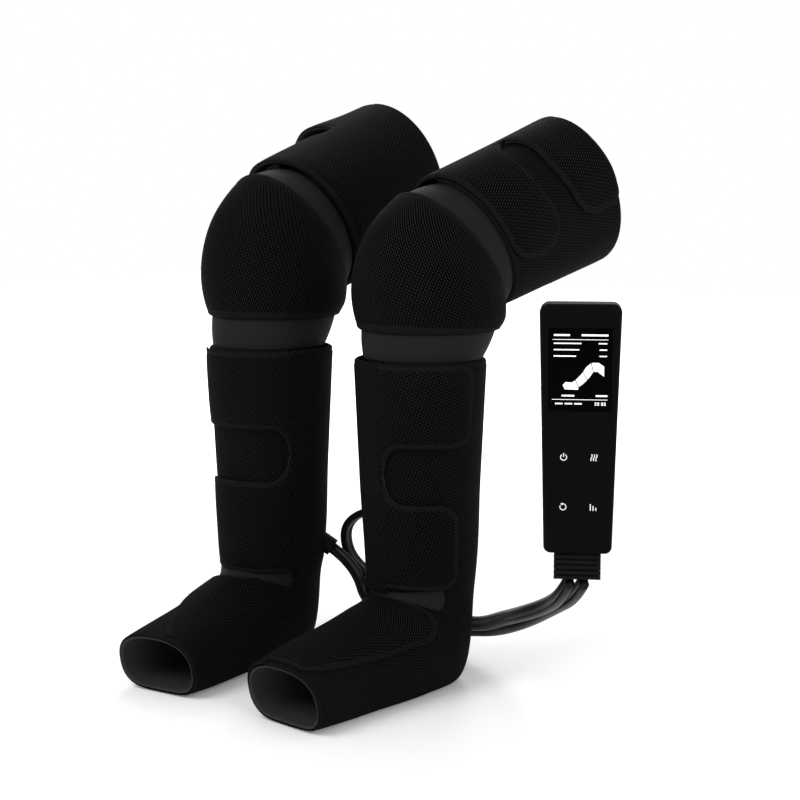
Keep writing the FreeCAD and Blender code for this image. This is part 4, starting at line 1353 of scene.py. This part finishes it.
class WRAP_OT_boots(WrapOperator, bpy.types.Operator):
    """Makes the padded foot and calf of each wrap."""
    bl_idname = "wrap.boots"
    bl_label = "Boots"
    make = staticmethod(boot_piece)


class WRAP_OT_gussets(WrapOperator, bpy.types.Operator):
    """Makes the stretch strip at each ankle."""
    bl_idname = "wrap.gussets"
    bl_label = "Ankle gussets"
    make = staticmethod(gusset_piece)


class WRAP_OT_calf_flaps(WrapOperator, bpy.types.Operator):
    """Makes the two flaps of each calf."""
    bl_idname = "wrap.calf_flaps"
    bl_label = "Calf flaps"
    make = staticmethod(calf_flaps)


class WRAP_OT_foot_flaps(WrapOperator, bpy.types.Operator):
    """Makes the flap over each foot."""
    bl_idname = "wrap.foot_flaps"
    bl_label = "Foot flaps"
    make = staticmethod(foot_flap)


class WRAP_OT_knees(WrapOperator, bpy.types.Operator):
    """Makes each padded knee cup."""
    bl_idname = "wrap.knees"
    bl_label = "Knee cups"
    make = staticmethod(knee_cup)


class WRAP_OT_bands(WrapOperator, bpy.types.Operator):
    """Makes the stretch sleeves below and above each knee."""
    bl_idname = "wrap.bands"
    bl_label = "Stretch sleeves"
    make = staticmethod(bands)


class WRAP_OT_thighs(WrapOperator, bpy.types.Operator):
    """Makes each padded thigh cuff."""
    bl_idname = "wrap.thighs"
    bl_label = "Thigh cuffs"
    make = staticmethod(thigh_cuff)


class WRAP_OT_thigh_flaps(WrapOperator, bpy.types.Operator):
    """Makes the two flaps of each thigh cuff."""
    bl_idname = "wrap.thigh_flaps"
    bl_label = "Thigh flaps"
    make = staticmethod(thigh_flaps)


NODE_FINISHES = {
    "abs_satin_moulded": ["front_shell", "rear_shell", *(f"{key}_button" for key in KEY_PLACES)],
    "acrylic_polished_window": ["screen_window", "display_panel"],
    "laminate_green_board": ["circuit_board"],
    "nylon_moulded_socket": [
        "key_switches", "valve_block", "power_inlet", "left_hose_socket", "right_hose_socket",
    ],
    "steel_plated": ["case_screws", "solenoid_valves"],
    "aluminium_cast": ["air_pump"],
    "foam_rubber_cushion": ["pump_cushions"],
    "rubber_ribbed_boot": ["hose_boot"],
}


class WRAP_OT_controller(bpy.types.Operator):
    """Finishes the controller's own parts and prints its symbols."""
    bl_idname = "wrap.controller"
    bl_label = "Controller"

    def execute(self, context):
        for finish, nodes in NODE_FINISHES.items():
            for name in nodes:
                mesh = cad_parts[name].data
                mesh.materials.clear()
                mesh.materials.append(finish_of(finish))
        sizes = context.scene.wrap_case
        for key, symbol in KEY_SYMBOLS.items():
            x, z = (value * MM for value in KEY_PLACES[key])
            outlines = symbol(x, z, sizes.symbol, sizes.line)
            piece = printed(sizes, f"{key}_symbol", outlines, "ink_white_printed", f"{key}_button")
        marks = printed(sizes, "screen_marks", screen_marks(sizes), "crystal_display_lit", "base")
        return {"FINISHED"}


# Soft lamps: place and size in metres, power in watts
LAMPS = (
    Lamp("key", (-0.6, -2.4, 2.6), 1.6, 42),
    Lamp("fill", (2.6, -0.9, 1.7), 1.8, 24),
    Lamp("back", (-1.6, 1.9, 2.4), 1.8, 45),
)
FLOOR_GLOW = 0.12
WORLD_STRENGTH = 0.6
LAMP_AIM = (-0.05, 0, 0.3)
LENS_MM = 74.25
SENSOR_MM = 36


class WRAP_OT_stage(bpy.types.Operator):
    """Makes the floor, the light and the camera."""
    bl_idname = "wrap.stage"
    bl_label = "Stage"

    def execute(self, context):
        stage = context.scene.wrap_stage
        half = stage.floor / 2
        mesh = bpy.data.meshes.new("floor")
        corners = [(-half, -half, 0), (half, -half, 0), (half, half, 0), (-half, half, 0)]
        mesh.from_pydata(corners, [], [(0, 1, 2, 3)])
        floor = linked("floor", mesh)
        mesh.materials.append(white_floor(stage))
        white_world(context.scene)
        for lamp in LAMPS:
            light = bpy.data.lights.new(lamp.name, "AREA")
            light.energy = lamp.power
            light.size = lamp.size
            holder = linked(lamp.name, light)
            holder.location = lamp.place
            aim = Vector(LAMP_AIM) - Vector(lamp.place)
            holder.rotation_euler = aim.to_track_quat("-Z", "Y").to_euler()
        data = bpy.data.cameras.new("camera")
        data.lens = LENS_MM
        data.sensor_width = SENSOR_MM
        camera = linked("camera", data)
        camera.location = (stage.camera_x, stage.camera_y, stage.camera_z)
        camera.rotation_euler = (stage.camera_tilt, 0, stage.camera_turn)
        context.scene.camera = camera
        context.scene.view_settings.view_transform = "Standard"
        return {"FINISHED"}


def seen_directly(tree):
    """1 for rays that see the backdrop straight, in gloss or through glass."""
    path = add(tree, "ShaderNodeLightPath").outputs
    seen = path["Is Camera Ray"]
    for ray in ("Is Glossy Ray", "Is Transmission Ray"):
        seen = add(tree, "ShaderNodeMath", {0: seen, 1: path[ray]}, operation="MAXIMUM").outputs[0]
    return seen


def white_floor(stage):
    """Matt white paper that keeps the soft shadow and turns plain white away from the wraps."""
    made, tree, shader = material("paper_matt_white")
    place = add(tree, "ShaderNodeTexCoord").outputs["Object"]
    fibre = add(tree, "ShaderNodeTexNoise", {"Vector": place, "Scale": PAPER_FIBRES}).outputs["Fac"]
    ramp = add(tree, "ShaderNodeValToRGB", {"Fac": fibre})
    for stop, code in zip(ramp.color_ramp.elements, ("#fbfbfb", "#ffffff")):
        stop.color = rgb(code)
    tree.links.new(ramp.outputs["Color"], shader.inputs["Base Color"])
    away = add(tree, "ShaderNodeVectorMath", {0: place}, operation="LENGTH").outputs["Value"]
    fade = add(tree, "ShaderNodeMapRange", {
        "Value": away, "From Min": stage.fade_start, "From Max": stage.fade_end, "To Min": FLOOR_GLOW},
        interpolation_type="SMOOTHSTEP")
    glow = add(tree, "ShaderNodeMath", {
        0: fade.outputs["Result"], 1: seen_directly(tree)}, operation="MULTIPLY")
    tree.links.new(glow.outputs[0], shader.inputs["Emission Strength"])
    shader.inputs["Emission Color"].default_value = (1, 1, 1, 1)
    shader.inputs["Roughness"].default_value = 1.0
    shader.inputs["Specular IOR Level"].default_value = 0.0
    return made


def white_world(scene):
    """Even studio light that looks white where it is seen."""
    world = bpy.data.worlds.new("studio")
    world.use_nodes = True
    tree = world.node_tree
    back = tree.nodes["Background"]
    strength = add(tree, "ShaderNodeMapRange", {
        "Value": seen_directly(tree), "To Min": WORLD_STRENGTH, "To Max": 1.0})
    back.inputs["Color"].default_value = (1, 1, 1, 1)
    tree.links.new(strength.outputs["Result"], back.inputs["Strength"])
    scene.world = world


class WRAP_PT_panel(bpy.types.Panel):
    """Lists the pieces of the leg wraps."""
    bl_idname = "WRAP_PT_panel"
    bl_label = "Leg wraps"
    bl_space_type = "VIEW_3D"
    bl_region_type = "UI"
    bl_category = "Leg wraps"

    def draw(self, context):
        for operator in OPERATORS:
            self.layout.operator(operator.bl_idname)


OPERATORS = (
    WRAP_OT_stage, WRAP_OT_hoses, WRAP_OT_boots, WRAP_OT_gussets, WRAP_OT_calf_flaps, WRAP_OT_foot_flaps,
    WRAP_OT_knees, WRAP_OT_bands, WRAP_OT_thighs, WRAP_OT_thigh_flaps, WRAP_OT_controller,
)
GROUPS = {"wrap_sizes": WrapSizes, "wrap_case": CaseSizes, "wrap_finishes": Finishes, "wrap_stage": Stage}
CLASSES = (*GROUPS.values(), *OPERATORS, WRAP_PT_panel)


def register():
    for cls in CLASSES:
        bpy.utils.register_class(cls)
    for name, group in GROUPS.items():
        setattr(bpy.types.Scene, name, PointerProperty(type=group))


def unregister():
    for name in GROUPS:
        delattr(bpy.types.Scene, name)
    for cls in reversed(CLASSES):
        bpy.utils.unregister_class(cls)


def main():
    register()
    for operator in OPERATORS:
        group, name = operator.bl_idname.split(".")
        getattr(getattr(bpy.ops, group), name)()


if __name__ == "__main__":
    main()
